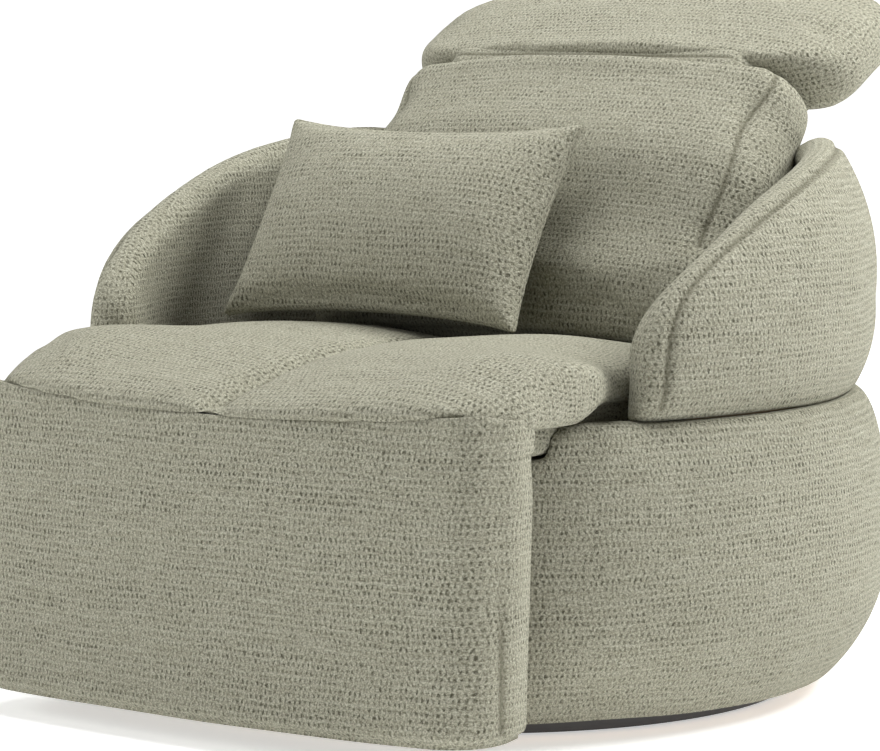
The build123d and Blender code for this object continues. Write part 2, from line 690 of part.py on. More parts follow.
# Recline drive: tube, gear motor and stand on the chassis, rod and drive plate on the seat
ROD_FRONT = SEAT_FRAME_FRONT + DRIVE_PLATE_T
RECLINE_TUBE_FRONT = SEAT_FRAME_FRONT + DRIVE_PLATE_W + DRIVE_PLATE_T
RECLINE_GEARBOX_Y = RECLINE_TUBE_FRONT + RECLINE_TUBE_L
ROD_REAR = RECLINE_TUBE_FRONT + GLIDE_TRAVEL + ACTUATOR_ENGAGED
recline_tube = actuator_tube(
    RECLINE_X, RECLINE_TUBE_FRONT, RECLINE_Z, RECLINE_TUBE_L, GLIDE_TRAVEL + ACTUATOR_ENGAGED + MOVE_GAP
)
save(recline_tube, "recline_actuator_tube")
save(gear_motor(RECLINE_X, RECLINE_GEARBOX_Y, RECLINE_Z, 1), "recline_gear_motor")

with BuildPart() as recline_actuator_stand:
    with BuildSketch(Plane.XY.offset(FLOOR_Z)):
        with Locations((RECLINE_X, RECLINE_GEARBOX_Y + GEARBOX_L / 2)):
            Rectangle(GEARBOX_W, GEARBOX_L)
        with Locations((RECLINE_X, RECLINE_GEARBOX_Y + GEARBOX_L / 2 - STAND_T)):
            Rectangle(GEARBOX_W - 2 * STAND_T, GEARBOX_L, mode=Mode.SUBTRACT)
    extrude(amount=RECLINE_Z - GEARBOX_H / 2 - FLOOR_Z)
save(recline_actuator_stand, "recline_actuator_stand")

with BuildPart() as recline_actuator_rod:
    with BuildSketch(front_plane(ROD_REAR)):
        with Locations((RECLINE_X, RECLINE_Z)):
            Circle(ACTUATOR_ROD_R)
    extrude(amount=ROD_REAR - ROD_FRONT)
save(recline_actuator_rod, "recline_actuator_rod")

with BuildPart() as recline_drive_plate:
    with BuildSketch(front_plane(ROD_FRONT)):
        with Locations((RECLINE_X, (RECLINE_Z - DRIVE_PLATE_W / 2 + SEAT_FRAME_BOTTOM) / 2)):
            Rectangle(DRIVE_PLATE_W, SEAT_FRAME_BOTTOM - RECLINE_Z + DRIVE_PLATE_W / 2)
    extrude(amount=DRIVE_PLATE_T)
save(recline_drive_plate, "recline_drive_plate")

# Footrest drive: tube through the front rail, gear motor against the middle rail
footrest_tube = actuator_tube(
    0, FOOT_TUBE_FRONT, FORK_Z, FOOT_TUBE_L, FORK_STROKE + ACTUATOR_ENGAGED + MOVE_GAP
)
save(footrest_tube, "footrest_actuator_tube")
save(gear_motor(0, FOOT_GEARBOX_Y, FORK_Z, -1), "footrest_gear_motor")

# Footrest rod with its fork, and the pin that drives the lever
SLOT_HALF_W = FORK_PIN_R + FORK_SLOT_PLAY
LEVER_END_R = SLOT_HALF_W + LEVER_RIM
FORK_REAR = FOOT_TUBE_FRONT - MOVE_GAP
FORK_HALF_W = LEVER_T / 2 + SLIDE_PLAY + FORK_CHEEK_T
FORK_LEAN_IN = FORK_H / 2 * sin(LEVER_HALF_SWING)
FORK_THROAT = (LEVER_END_R + MOVE_GAP + FORK_LEAN_IN) / cos(LEVER_HALF_SWING)
with BuildPart() as footrest_actuator_rod:
    with BuildSketch(front_plane(FOOT_TUBE_FRONT + FORK_STROKE + ACTUATOR_ENGAGED)):
        with Locations((0, FORK_Z)):
            Circle(ACTUATOR_ROD_R)
    extrude(amount=FORK_STROKE + ACTUATOR_ENGAGED + MOVE_GAP)
    with BuildSketch(front_plane(FORK_REAR)):
        with Locations((0, FORK_Z)):
            RectangleRounded(2 * FORK_HALF_W, FORK_H, FORK_CHEEK_T / 2)
    extrude(amount=FORK_REAR - FORK_Y + FORK_H / 2)
    with BuildSketch(front_plane(FORK_Y + FORK_THROAT)):
        with Locations((0, FORK_Z)):
            Rectangle(LEVER_T + 2 * SLIDE_PLAY, 2 * FORK_H)
    extrude(amount=FORK_THROAT + FORK_H, mode=Mode.SUBTRACT)
    with BuildSketch(side_plane(-FORK_HALF_W)):
        with Locations((FORK_Y, FORK_Z)):
            Circle(FORK_PIN_R + PIN_FIT)
    extrude(amount=2 * FORK_HALF_W, mode=Mode.SUBTRACT)
save(footrest_actuator_rod, "footrest_actuator_rod")

with BuildPart() as footrest_fork_pin:
    with BuildSketch(side_plane(-FORK_HALF_W - MOVE_GAP)):
        with Locations((FORK_Y, FORK_Z)):
            Circle(FORK_PIN_R)
    extrude(amount=2 * (FORK_HALF_W + MOVE_GAP))
save(footrest_fork_pin, "footrest_fork_pin")


def panel_front(z):
    """Front of the footrest panel on its centre line: it leans out towards the floor."""
    return FOOT_FRONT - FOOT_LEAN * (FOOT_TOP - z) / (FOOT_TOP - FOOT_BOTTOM)


def panel_back(x, z):
    """Back of the footrest board at x, on the bowed part of the panel."""
    depth = FOOT_PAD_T + FOOT_BOARD_T
    taper = FOOT_TAPER * (FOOT_TOP - z) / (FOOT_TOP - FOOT_BOTTOM)
    bow_r = ((FOOT_HALF_W - taper - depth) ** 2 + FOOT_BOW**2) / (2 * FOOT_BOW)
    return panel_front(z) + depth + bow_r - sqrt(bow_r**2 - x**2)


def bowed_layer(near, far, edge_r):
    """Layer of the footrest panel between two depths behind its front, with wrapped ends.

    The front is drawn in by edge_r along its lower and upper edges.
    """
    low_steps = [(FOOT_BOTTOM + rise * edge_r, near + draw * edge_r) for rise, draw in EDGE_STEPS]
    high_steps = [(FOOT_TOP - rise * edge_r, near + draw * edge_r) for rise, draw in reversed(EDGE_STEPS)]
    with BuildPart() as layer:
        for z, skin in low_steps + high_steps:
            half_w = FOOT_HALF_W - FOOT_TAPER * (FOOT_TOP - z) / (FOOT_TOP - FOOT_BOTTOM)
            front = panel_front(z)
            corner = front + FOOT_BOW
            end = corner + FOOT_WRAP
            x_skin, x_far = half_w - skin, half_w - far
            y_skin, y_far = corner + skin, corner + far
            with BuildSketch(Plane.XY.offset(z)) as outline:
                with BuildLine():
                    Polyline((x_skin, y_skin), (x_skin, end), (x_far, end), (x_far, y_far))
                    ThreePointArc((x_far, y_far), (0, front + far), (-x_far, y_far))
                    Polyline((-x_far, y_far), (-x_far, end), (-x_skin, end), (-x_skin, y_skin))
                    ThreePointArc((-x_skin, y_skin), (0, front + skin), (x_skin, y_skin))
                make_face()
                outer_turns = outline.vertices().sort_by(Axis.Y)[0:2]
                fillet(outer_turns, FOOT_CORNER_R - skin)
                inner_turns = outline.vertices().filter_by(lambda v: abs(v.Y - y_far) < SEAT_GAP)
                fillet(inner_turns, FOOT_CORNER_R - far)
        loft(ruled=True)
    return layer


# Footrest pad on its board
EDGE_STEPS = ((0.0, 1.0), (0.3, 0.3), (1.0, 0.0))
footrest_pad = bowed_layer(0, FOOT_PAD_T, FOOT_EDGE_R)
save(footrest_pad, "footrest_pad")
footrest_board = bowed_layer(FOOT_PAD_T + SEAT_GAP, FOOT_PAD_T + FOOT_BOARD_T, SEAT_GAP)
save(footrest_board, "footrest_board")

# Footrest torque tube on the swing axis
TUBE_HALF_L = HINGE_BLOCK_X + HINGE_BLOCK_T + MOVE_GAP
with BuildPart() as footrest_torque_tube:
    with BuildSketch(side_plane(-TUBE_HALF_L)):
        with Locations((FOOT_AXIS_Y, FOOT_AXIS_Z)):
            Circle(TORQUE_TUBE_R)
    extrude(amount=2 * TUBE_HALF_L)
save(footrest_torque_tube, "footrest_torque_tube")

# Footrest arms: hooks from the torque tube over the panel and down the back of the board
HOOK_TOP = FOOT_AXIS_Z + FOOT_BOSS_R - MOVE_GAP
HOOK_FOOT_Z = FOOT_TOP - FOOT_ARM_DROP
with BuildPart() as footrest_arms:
    for side, sign in SIDES:
        with BuildSketch(side_plane(sign * FOOT_ARM_X - FOOT_ARM_T / 2)):
            with BuildLine():
                top_y = panel_back(FOOT_ARM_X, FOOT_TOP) + SEAT_GAP
                foot_y = panel_back(FOOT_ARM_X, HOOK_FOOT_Z) + SEAT_GAP
                Polyline(
                    (FOOT_AXIS_Y, HOOK_TOP),
                    (top_y + FOOT_ARM_W, HOOK_TOP),
                    (foot_y + FOOT_ARM_W, HOOK_FOOT_Z),
                    (foot_y, HOOK_FOOT_Z),
                    (top_y, FOOT_TOP + SEAT_GAP),
                    (FOOT_AXIS_Y, FOOT_TOP + SEAT_GAP),
                    close=True,
                )
            make_face()
            with Locations((FOOT_AXIS_Y, FOOT_AXIS_Z)):
                Circle(FOOT_BOSS_R)
                Circle(TORQUE_TUBE_R + PIN_FIT, mode=Mode.SUBTRACT)
        extrude(amount=FOOT_ARM_T)
save(footrest_arms, "footrest_arms")

# Footrest lever: runs down the back of the board and ends in the slot for the fork pin
LEVER_INNER_R = LEVER_R * cos(LEVER_HALF_SWING)
LEVER_MIDDLE_R = (LEVER_R + LEVER_INNER_R) / 2
SLOT_TRAVEL = LEVER_R - LEVER_INNER_R
LEVER_TURN = degrees(LEVER_HALF_SWING) - 90
LEVER_NECK_Y = panel_back(0, FOOT_TOP) + SEAT_GAP
LEVER_BEND_Z = FOOT_TOP - 2 * LEVER_END_R


def lever_point(along, out):
    """Point of the side view at a distance down the lever from the swing axis, and behind its middle."""
    return (
        FOOT_AXIS_Y + along * sin(LEVER_HALF_SWING) + out * cos(LEVER_HALF_SWING),
        FOOT_AXIS_Z - along * cos(LEVER_HALF_SWING) + out * sin(LEVER_HALF_SWING),
    )


with BuildPart() as footrest_lever:
    with BuildSketch(side_plane(-LEVER_T / 2)):
        with BuildLine():
            Polyline(
                (FOOT_AXIS_Y, HOOK_TOP),
                (LEVER_NECK_Y + FOOT_ARM_W, HOOK_TOP),
                lever_point(LEVER_INNER_R - 1.4 * LEVER_END_R, LEVER_END_R),
                lever_point(LEVER_INNER_R, LEVER_END_R),
                lever_point(LEVER_INNER_R, -LEVER_END_R),
                (panel_back(0, LEVER_BEND_Z) + SEAT_GAP, LEVER_BEND_Z),
                (LEVER_NECK_Y, FOOT_TOP + SEAT_GAP),
                (FOOT_AXIS_Y, FOOT_TOP + SEAT_GAP),
                close=True,
            )
        make_face()
        with Locations((FOOT_AXIS_Y, FOOT_AXIS_Z)):
            Circle(FOOT_BOSS_R)
        with Locations(lever_point(LEVER_MIDDLE_R, 0)):
            SlotCenterToCenter(SLOT_TRAVEL, 2 * LEVER_END_R, rotation=LEVER_TURN)
            SlotCenterToCenter(SLOT_TRAVEL, 2 * SLOT_HALF_W, rotation=LEVER_TURN, mode=Mode.SUBTRACT)
        with Locations((FOOT_AXIS_Y, FOOT_AXIS_Z)):
            Circle(TORQUE_TUBE_R + PIN_FIT, mode=Mode.SUBTRACT)
    extrude(amount=LEVER_T)
save(footrest_lever, "footrest_lever")

# Footrest hinge blocks: goosenecks from the front rail to the torque tube
BLOCK_FLOOR = FOOT_TOP + MOVE_GAP
with BuildPart() as footrest_hinge_blocks:
    for side, sign in SIDES:
        neck_y = panel_back(HINGE_BLOCK_X, FOOT_TOP) + FOOT_ARM_W
        with BuildSketch(side_plane(sign * HINGE_BLOCK_X - HINGE_BLOCK_T / 2)):
            with BuildLine():
                Polyline(
                    (SEAT_FRAME_FRONT, SEAT_FRAME_BOTTOM + FOOT_ARM_W),
                    (SEAT_FRAME_FRONT, SEAT_FRAME_TOP),
                    (SEAT_FRAME_FRONT - FOOT_ARM_W, SEAT_NOSE_BOTTOM - MOVE_GAP),
                    (FOOT_AXIS_Y, SEAT_NOSE_BOTTOM - MOVE_GAP),
                    (FOOT_AXIS_Y, BLOCK_FLOOR),
                    (neck_y, BLOCK_FLOOR),
                    (neck_y + FOOT_ARM_W / 2, SEAT_FRAME_TOP),
                    close=True,
                )
            make_face()
            with Locations((FOOT_AXIS_Y, FOOT_AXIS_Z)):
                Circle(FOOT_BOSS_R)
                Circle(TORQUE_TUBE_R + PIN_FIT, mode=Mode.SUBTRACT)
        extrude(amount=HINGE_BLOCK_T)
save(footrest_hinge_blocks, "footrest_hinge_blocks")

# Back pivot pins through the seat rails
UPRIGHT_OUTER_X = SEAT_INSIDE_HALF_W - SLIDE_PLAY
UPRIGHT_INNER_X = UPRIGHT_OUTER_X - BACK_RAIL_W
with BuildPart() as back_pivot_pins:
    for side, sign in SIDES:
        with BuildSketch(side_plane(sign * (UPRIGHT_INNER_X - CAM_T))):
            with Locations((PIVOT_Y, PIVOT_Z)):
                Circle(PIVOT_PIN_R)
        extrude(amount=sign * (SEAT_RAIL_X - UPRIGHT_INNER_X + CAM_T))
save(back_pivot_pins, "back_pivot_pins")

# Directions of the back: up along its rear plane, and out of its front
back_up = (sin(radians(BACK_LEAN)), cos(radians(BACK_LEAN)))
back_out = (-back_up[1], back_up[0])


def back_point(up, out):
    """Point of the side view at a height along the rear plane and a distance in front of it."""
    return (
        BACK_FOOT_Y + up * back_up[0] + out * back_out[0],
        BACK_FOOT_Z + up * back_up[1] + out * back_out[1],
    )


def cushion_plane(point, lean):
    """Plane across a leaning cushion: local x is across, local y is out of its front."""
    a = radians(lean)
    return Plane(origin=(0, point[0], point[1]), x_dir=(-1, 0, 0), z_dir=(0, sin(a), cos(a)))


# Directions of the slanted joint between back and headrest, and its hinge point
END_LEAN = BACK_LEAN + BACK_END_TILT
end_up = (sin(radians(END_LEAN)), cos(radians(END_LEAN)))
end_out = (-end_up[1], end_up[0])
end_foot = back_point(BACK_LENGTH, 0)
hinge = (end_foot[0] + HINGE_DEPTH * end_out[0], end_foot[1] + HINGE_DEPTH * end_out[1])


def end_point(up, out):
    """Point of the side view at a distance past the joint plane and a distance from the hinge."""
    return (hinge[0] + up * end_up[0] + out * end_out[0], hinge[1] + up * end_up[1] + out * end_out[1])


def leaning_pad(stations, rear_inset):
    """Pad lofted through profiles with a flat rear, rounded sides and a crowned front.

    Each station: the profile's plane, half width, rear and front. Room is cut for the hinges.
    """
    with BuildPart() as pad:
        for plane, half_w, rear, front in stations:
            rear_x = half_w - rear_inset
            front_x = half_w - PAD_FRONT_INSET
            side_y = rear + 0.45 * (front - rear)
            edge_y = rear + 0.84 * (front - rear)
            with BuildSketch(plane):
                with BuildLine():
                    Line((-rear_x, rear), (rear_x, rear))
                    ThreePointArc((rear_x, rear), (half_w, side_y), (front_x, edge_y))
                    ThreePointArc((front_x, edge_y), (0, front), (-front_x, edge_y))
                    ThreePointArc((-front_x, edge_y), (-half_w, side_y), (-rear_x, rear))
                make_face()
        loft()
        for side, sign in SIDES:
            with BuildSketch(side_plane(sign * LEAF_X - LEAF_W / 2 - SLIDE_PLAY)):
                with Locations(hinge):
                    Circle(KNUCKLE_R + SLIDE_PLAY)
            extrude(amount=LEAF_W + 2 * SLIDE_PLAY, mode=Mode.SUBTRACT)
    return pad


# Back cushion: crowned pad, lofted up its rear plane to the slanted joint.
# Each station: share of the length, of the tilt, of the half width and of the depth.
BACK_STATIONS = (
    (0.0, 0.0, 0.80, 0.72),
    (0.04, 0.0, 0.95, 0.87),
    (0.25, 0.0, 0.99, 0.97),
    (0.52, 0.0, 1.0, 1.0),
    (0.76, 0.4, 0.92, 0.94),
    (0.91, 0.9, 0.84, 0.86),
    (0.97, 1.0, 0.81, 0.81),
)
END_GAP_UP = HEAD_GAP / 2 / cos(radians(BACK_END_TILT))
back_sections = []
for length_share, tilt_share, width_share, depth_share in BACK_STATIONS:
    plane = cushion_plane(back_point(length_share * BACK_LENGTH, 0), BACK_LEAN + tilt_share * BACK_END_TILT)
    back_sections.append((plane, width_share * BACK_HALF_W, 0, depth_share * BACK_DEPTH))
end_plane = cushion_plane(back_point(BACK_LENGTH - END_GAP_UP, 0), END_LEAN)
back_sections.append((end_plane, BACK_END_HALF_W, 0, HINGE_DEPTH))
back_cushion = leaning_pad(back_sections, BACK_REAR_INSET)
save(back_cushion, "back_cushion")

# Back uprights: plywood posts behind the cushion, hung on the pivot pins
UPRIGHT_TOP = UPRIGHT_SHARE * BACK_LENGTH
NECK_TOP = BACK_LENGTH - END_GAP_UP - BACK_FRAME_T * sin(radians(BACK_END_TILT)) / cos(radians(BACK_END_TILT))
with BuildPart() as back_uprights:
    for side, sign in SIDES:
        with BuildSketch(side_plane(sign * UPRIGHT_INNER_X)):
            with BuildLine():
                Polyline(
                    back_point(UPRIGHT_TOP, -SEAT_GAP),
                    back_point(PIVOT_BOSS_R, -SEAT_GAP),
                    (PIVOT_Y - PIVOT_BOSS_R, PIVOT_Z),
                    (PIVOT_Y + PIVOT_BOSS_R, PIVOT_Z),
                    back_point(2 * PIVOT_BOSS_R, -BACK_FRAME_T),
                    back_point(UPRIGHT_TOP, -BACK_FRAME_T),
                    close=True,
                )
            make_face()
            with Locations((PIVOT_Y, PIVOT_Z)):
                Circle(PIVOT_BOSS_R)
                Circle(PIVOT_PIN_R + PIN_FIT, mode=Mode.SUBTRACT)
        extrude(amount=sign * BACK_RAIL_W)
save(back_uprights, "back_uprights")

# Back cross rails between the uprights, one strap thickness behind the cushion, and the
# narrower neck board above them that carries the headrest hinges
BACK_RAILS = (
    (2 * PIVOT_BOSS_R, UPRIGHT_INNER_X, BACK_RAIL_W),
    (BACK_LENGTH / 2, UPRIGHT_INNER_X, BACK_RAIL_W),
    (UPRIGHT_TOP - BACK_RAIL_W, UPRIGHT_INNER_X, BACK_RAIL_W),
    (UPRIGHT_TOP, LEAF_X + LEAF_W / 2, NECK_TOP - UPRIGHT_TOP),
)
with BuildPart() as back_cross_rails:
    for up, half_w, height in BACK_RAILS:
        with BuildSketch(cushion_plane(back_point(up, 0), BACK_LEAN)):
            with Locations((0, -(BACK_FRAME_T + STRAP_T) / 2)):
                Rectangle(2 * half_w, BACK_FRAME_T - STRAP_T)
        extrude(amount=height)
save(back_cross_rails, "back_cross_rails")

# Back webbing: straps up the front of the cross rails
BACK_STRAP_SPREAD = UPRIGHT_INNER_X - STRAP_W
with BuildPart() as back_webbing:
    with BuildSketch(cushion_plane(back_point(2 * PIVOT_BOSS_R, 0), BACK_LEAN)):
        for i in range(STRAPS - 1):
            with Locations((BACK_STRAP_SPREAD * (2 * i / (STRAPS - 2) - 1), -STRAP_T / 2)):
                Rectangle(STRAP_W, STRAP_T)
    extrude(amount=UPRIGHT_TOP - 2 * PIVOT_BOSS_R)
save(back_webbing, "back_webbing")

# Recline cams: as the seat glides forward, a pin on the chassis runs back along the slot
# and tips the back. The slot is the pin's path seen from the back.
def cam_point(share):
    reach = GUIDE_PIN_BEHIND + share * GLIDE_TRAVEL
    turn = radians(share * RECLINE_ANGLE)
    return (PIVOT_Y + reach * cos(turn), PIVOT_Z + reach * sin(turn))


CAM_SLOT_R = GUIDE_PIN_R + CAM_PLAY
CAM_BAND_R = CAM_SLOT_R + CAM_RIM
with BuildPart() as recline_cams:
    for side, sign in SIDES:
        with BuildSketch(side_plane(sign * (UPRIGHT_INNER_X - CAM_T))):
            with BuildLine():
                ThreePointArc(cam_point(0), cam_point(0.5), cam_point(1))
            trace(line_width=2 * CAM_BAND_R)
            with BuildLine():
                Line((PIVOT_Y, PIVOT_Z), cam_point(0))
            trace(line_width=2 * PIVOT_BOSS_R)
            with Locations((PIVOT_Y, PIVOT_Z)):
                Circle(PIVOT_BOSS_R)
            with Locations(cam_point(0), cam_point(1)):
                Circle(CAM_BAND_R)
                Circle(CAM_SLOT_R, mode=Mode.SUBTRACT)
            with BuildLine():
                ThreePointArc(cam_point(0), cam_point(0.5), cam_point(1))
            trace(line_width=2 * CAM_SLOT_R, mode=Mode.SUBTRACT)
            with Locations((PIVOT_Y, PIVOT_Z)):
                Circle(PIVOT_PIN_R + PIN_FIT, mode=Mode.SUBTRACT)
        extrude(amount=sign * CAM_T)
save(recline_cams, "recline_cams")

# Guide brackets and pins on the rear cross panel
GUIDE_Y = PIVOT_Y + GUIDE_PIN_BEHIND
BRACKET_OUTER_X = UPRIGHT_INNER_X - CAM_T - SLIDE_PLAY
with BuildPart() as guide_brackets:
    for side, sign in SIDES:
        with BuildSketch(side_plane(sign * BRACKET_OUTER_X)):
            with BuildLine():
                Polyline(
                    (CROSS_PANEL_Y, CROSS_REAR_TOP),
                    (GUIDE_Y + PIVOT_BOSS_R / 2, PIVOT_Z + PIVOT_BOSS_R / 2),
                    (GUIDE_Y - PIVOT_BOSS_R / 2, PIVOT_Z + PIVOT_BOSS_R / 2),
                    (GUIDE_Y - PIVOT_BOSS_R / 2, PIVOT_Z - PIVOT_BOSS_R / 2),
                    (CROSS_PANEL_Y, CROSS_REAR_TOP - GUIDE_BRACKET_H),
                    close=True,
                )
            make_face()
            with Locations((GUIDE_Y, PIVOT_Z)):
                Circle(GUIDE_PIN_R + PIN_FIT, mode=Mode.SUBTRACT)
        extrude(amount=-sign * GUIDE_BRACKET_T)
save(guide_brackets, "guide_brackets")

with BuildPart() as guide_pins:
    for side, sign in SIDES:
        with BuildSketch(side_plane(sign * (BRACKET_OUTER_X - GUIDE_BRACKET_T))):
            with Locations((GUIDE_Y, PIVOT_Z)):
                Circle(GUIDE_PIN_R)
        extrude(amount=sign * (GUIDE_BRACKET_T + CAM_T))
save(guide_pins, "guide_pins")

# Directions of the headrest: along it to the rear, and up out of its top
head_along = (cos(radians(HEAD_ANGLE)), sin(radians(HEAD_ANGLE)))
head_up = (-head_along[1], head_along[0])


def head_point(along, up):
    """Point of the side view at a distance along the headrest and above the hinge line."""
    return (
        hinge[0] + along * head_along[0] + up * head_up[0],
        hinge[1] + along * head_along[1] + up * head_up[1],
    )


# Headrest cushion: a thick pad, cut slantwise where it meets the back, rounded at its rear end
# and trimmed flat underneath for its board.
# Each station: share of the length, lean of its plane, share of the half width, top, bottom.
HEAD_LEAN = 90 - HEAD_ANGLE
HEAD_LOW = HEAD_ROLL - HEAD_DEPTH
HEAD_STATIONS = (
    (0.2, (END_LEAN + HEAD_LEAN) / 2, 0.96, HEAD_ROLL, HEAD_LOW),
    (0.42, HEAD_LEAN, 1.0, 1.3 * HEAD_ROLL, HEAD_LOW),
    (0.73, HEAD_LEAN, 0.99, HEAD_ROLL, 0.98 * HEAD_LOW),
    (0.92, HEAD_LEAN, 0.93, 0.1 * HEAD_ROLL, 0.9 * HEAD_LOW),
    (1.0, HEAD_LEAN, 0.80, -1.2 * HEAD_ROLL, 0.7 * HEAD_LOW),
)
head_sections = [
    (cushion_plane(end_point(HEAD_GAP / 2, 0), END_LEAN), BACK_END_HALF_W, HEAD_LOW, 0),
    (
        cushion_plane(end_point(HEAD_GAP / 2 + HEAD_ROLL, 0), END_LEAN),
        0.87 * HEAD_HALF_W,
        HEAD_LOW,
        HEAD_ROLL / 2,
    ),
]
for length_share, lean, width_share, top, bottom in HEAD_STATIONS:
    plane = cushion_plane(head_point(length_share * HEAD_LENGTH, 0), lean)
    head_sections.append((plane, width_share * HEAD_HALF_W, bottom, top))
headrest_pad = leaning_pad(head_sections, PAD_FRONT_INSET)
with BuildPart() as headrest_cushion:
    add(headrest_pad.part)
    with BuildSketch(side_plane(-HEAD_HALF_W)):
        with BuildLine():
            Polyline(
                head_point(0, HEAD_LOW),
                head_point(HEAD_LENGTH, HEAD_LOW),
                head_point(HEAD_LENGTH, HEAD_LOW - HEAD_BOARD_T),
                head_point(0, HEAD_LOW - HEAD_BOARD_T),
                close=True,
            )
        make_face()
    extrude(amount=2 * HEAD_HALF_W, mode=Mode.SUBTRACT)
save(headrest_cushion, "headrest_cushion")

# Headrest board under the cushion, its front edge slanted along the joint
def joint_along(up):
    """Distance along the headrest of its end face, at a height from the hinge line."""
    slant = radians(END_LEAN - HEAD_LEAN)
    return HEAD_GAP / 2 / cos(slant) + up * sin(slant) / cos(slant)


with BuildPart() as headrest_board:
    board_top = HEAD_LOW - SEAT_GAP
    board_low = board_top - HEAD_BOARD_T
    with BuildSketch(side_plane(-HEAD_BOARD_HALF_W)):
        with BuildLine():
            Polyline(
                head_point(joint_along(board_top), board_top),
                head_point(joint_along(board_low), board_low),
                head_point(joint_along(board_low) + HEAD_BOARD_LENGTH, board_low),
                head_point(joint_along(board_top) + HEAD_BOARD_LENGTH, board_top),
                close=True,
            )
        make_face()
    extrude(amount=2 * HEAD_BOARD_HALF_W)
save(headrest_board, "headrest_board")


def hinge_leaves(side_of_joint, length, knuckles):
    """Pair of hinge leaves on one side of the joint plane, with their share of the barrel."""
    far = side_of_joint * (HEAD_GAP / 2 - SEAT_GAP)
    near = far - side_of_joint * LEAF_T
    root = KNUCKLE_R + SLIDE_PLAY
    with BuildPart() as leaves:
        for side, sign in SIDES:
            with BuildSketch(side_plane(sign * LEAF_X - LEAF_W / 2)):
                with BuildLine():
                    Polyline(
                        end_point(near, -root),
                        end_point(near, -length),
                        end_point(far, -length),
                        end_point(far, -root),
                        close=True,
                    )
                make_face()
            extrude(amount=LEAF_W)
            for start, width in knuckles:
                with BuildSketch(side_plane(sign * LEAF_X + start)):
                    with Locations(hinge):
                        Circle(KNUCKLE_R)
                    with BuildLine():
                        Polyline(
                            end_point(near, 0),
                            end_point(near, -root - LEAF_T),
                            end_point(far, -root - LEAF_T),
                            end_point(far, 0),
                            close=True,
                        )
                    make_face()
                    with Locations(hinge):
                        Circle(HINGE_PIN_R + PIN_FIT, mode=Mode.SUBTRACT)
                extrude(amount=width)
    return leaves


# Headrest hinges: lower leaves on the back, upper leaves on the headrest, and their pins
KNUCKLE_W = LEAF_W / 3 - SLIDE_PLAY
outer_knuckles = ((-LEAF_W / 2, KNUCKLE_W), (LEAF_W / 2 - KNUCKLE_W, KNUCKLE_W))
inner_knuckle = ((-KNUCKLE_W / 2, KNUCKLE_W),)
save(hinge_leaves(-1, HINGE_DEPTH + BACK_FRAME_T, outer_knuckles), "headrest_hinge_lower")
save(hinge_leaves(1, HEAD_DEPTH, inner_knuckle), "headrest_hinge_upper")
with BuildPart() as headrest_hinge_pins:
    for side, sign in SIDES:
        with BuildSketch(side_plane(sign * LEAF_X - LEAF_W / 2)):
            with Locations(hinge):
                Circle(HINGE_PIN_R)
        extrude(amount=LEAF_W)
save(headrest_hinge_pins, "headrest_hinge_pins")


# Lumbar pillow: crowned, with edges drawn in between its corners.
# Each station: share of the half width, of the thickness and of the height.
def pillow_point(up, out):
    a = radians(PILLOW_LEAN)
    return (PILLOW_FOOT_Y + up * sin(a) - out * cos(a), PILLOW_FOOT_Z + up * cos(a) + out * sin(a))


PILLOW_STATIONS = ((1.0, 0.16, 1.0), (0.9, 0.42, 0.985), (0.68, 0.8, 0.965), (0.36, 0.97, 0.955))
PILLOW_SPREAD = [(-x, t, h) for x, t, h in PILLOW_STATIONS] + [(0.0, 1.0, 0.95)]
PILLOW_SPREAD += list(reversed(PILLOW_STATIONS))
with BuildPart() as lumbar_pillow:
    for across, thick, tall in PILLOW_SPREAD:
        low = (1 - tall) * PILLOW_H / 2
        high = PILLOW_H - low
        edge = min(PILLOW_EDGE_T, thick * PILLOW_T) / 2
        with BuildSketch(side_plane(PILLOW_X + across * PILLOW_W / 2)):
            with BuildLine():
                Line(pillow_point(low, -edge), pillow_point(low, edge))
                front = pillow_point(PILLOW_H / 2, thick * PILLOW_T / 2)
                rear = pillow_point(PILLOW_H / 2, -thick * PILLOW_T / 2)
                ThreePointArc(pillow_point(low, edge), front, pillow_point(high, edge))
                Line(pillow_point(high, edge), pillow_point(high, -edge))
                ThreePointArc(pillow_point(high, -edge), rear, pillow_point(low, -edge))
            make_face()
    loft()
save(lumbar_pillow, "lumbar_pillow")

# Battery pack and control unit on the chassis board
for case_name, place, size in (
    ("battery_pack", BATTERY_PLACE, BATTERY_SIZE),
    ("control_unit", CONTROL_PLACE, CONTROL_SIZE),
):
    with BuildPart() as electric_case:
        with BuildSketch(Plane.XY.offset(FLOOR_Z)):
            with Locations(place):
                RectangleRounded(size[0], size[1], CASE_R)
        extrude(amount=size[2])
        fillet(electric_case.faces().sort_by(Axis.Z)[-1].edges(), CASE_R / 2)
    save(electric_case, case_name)

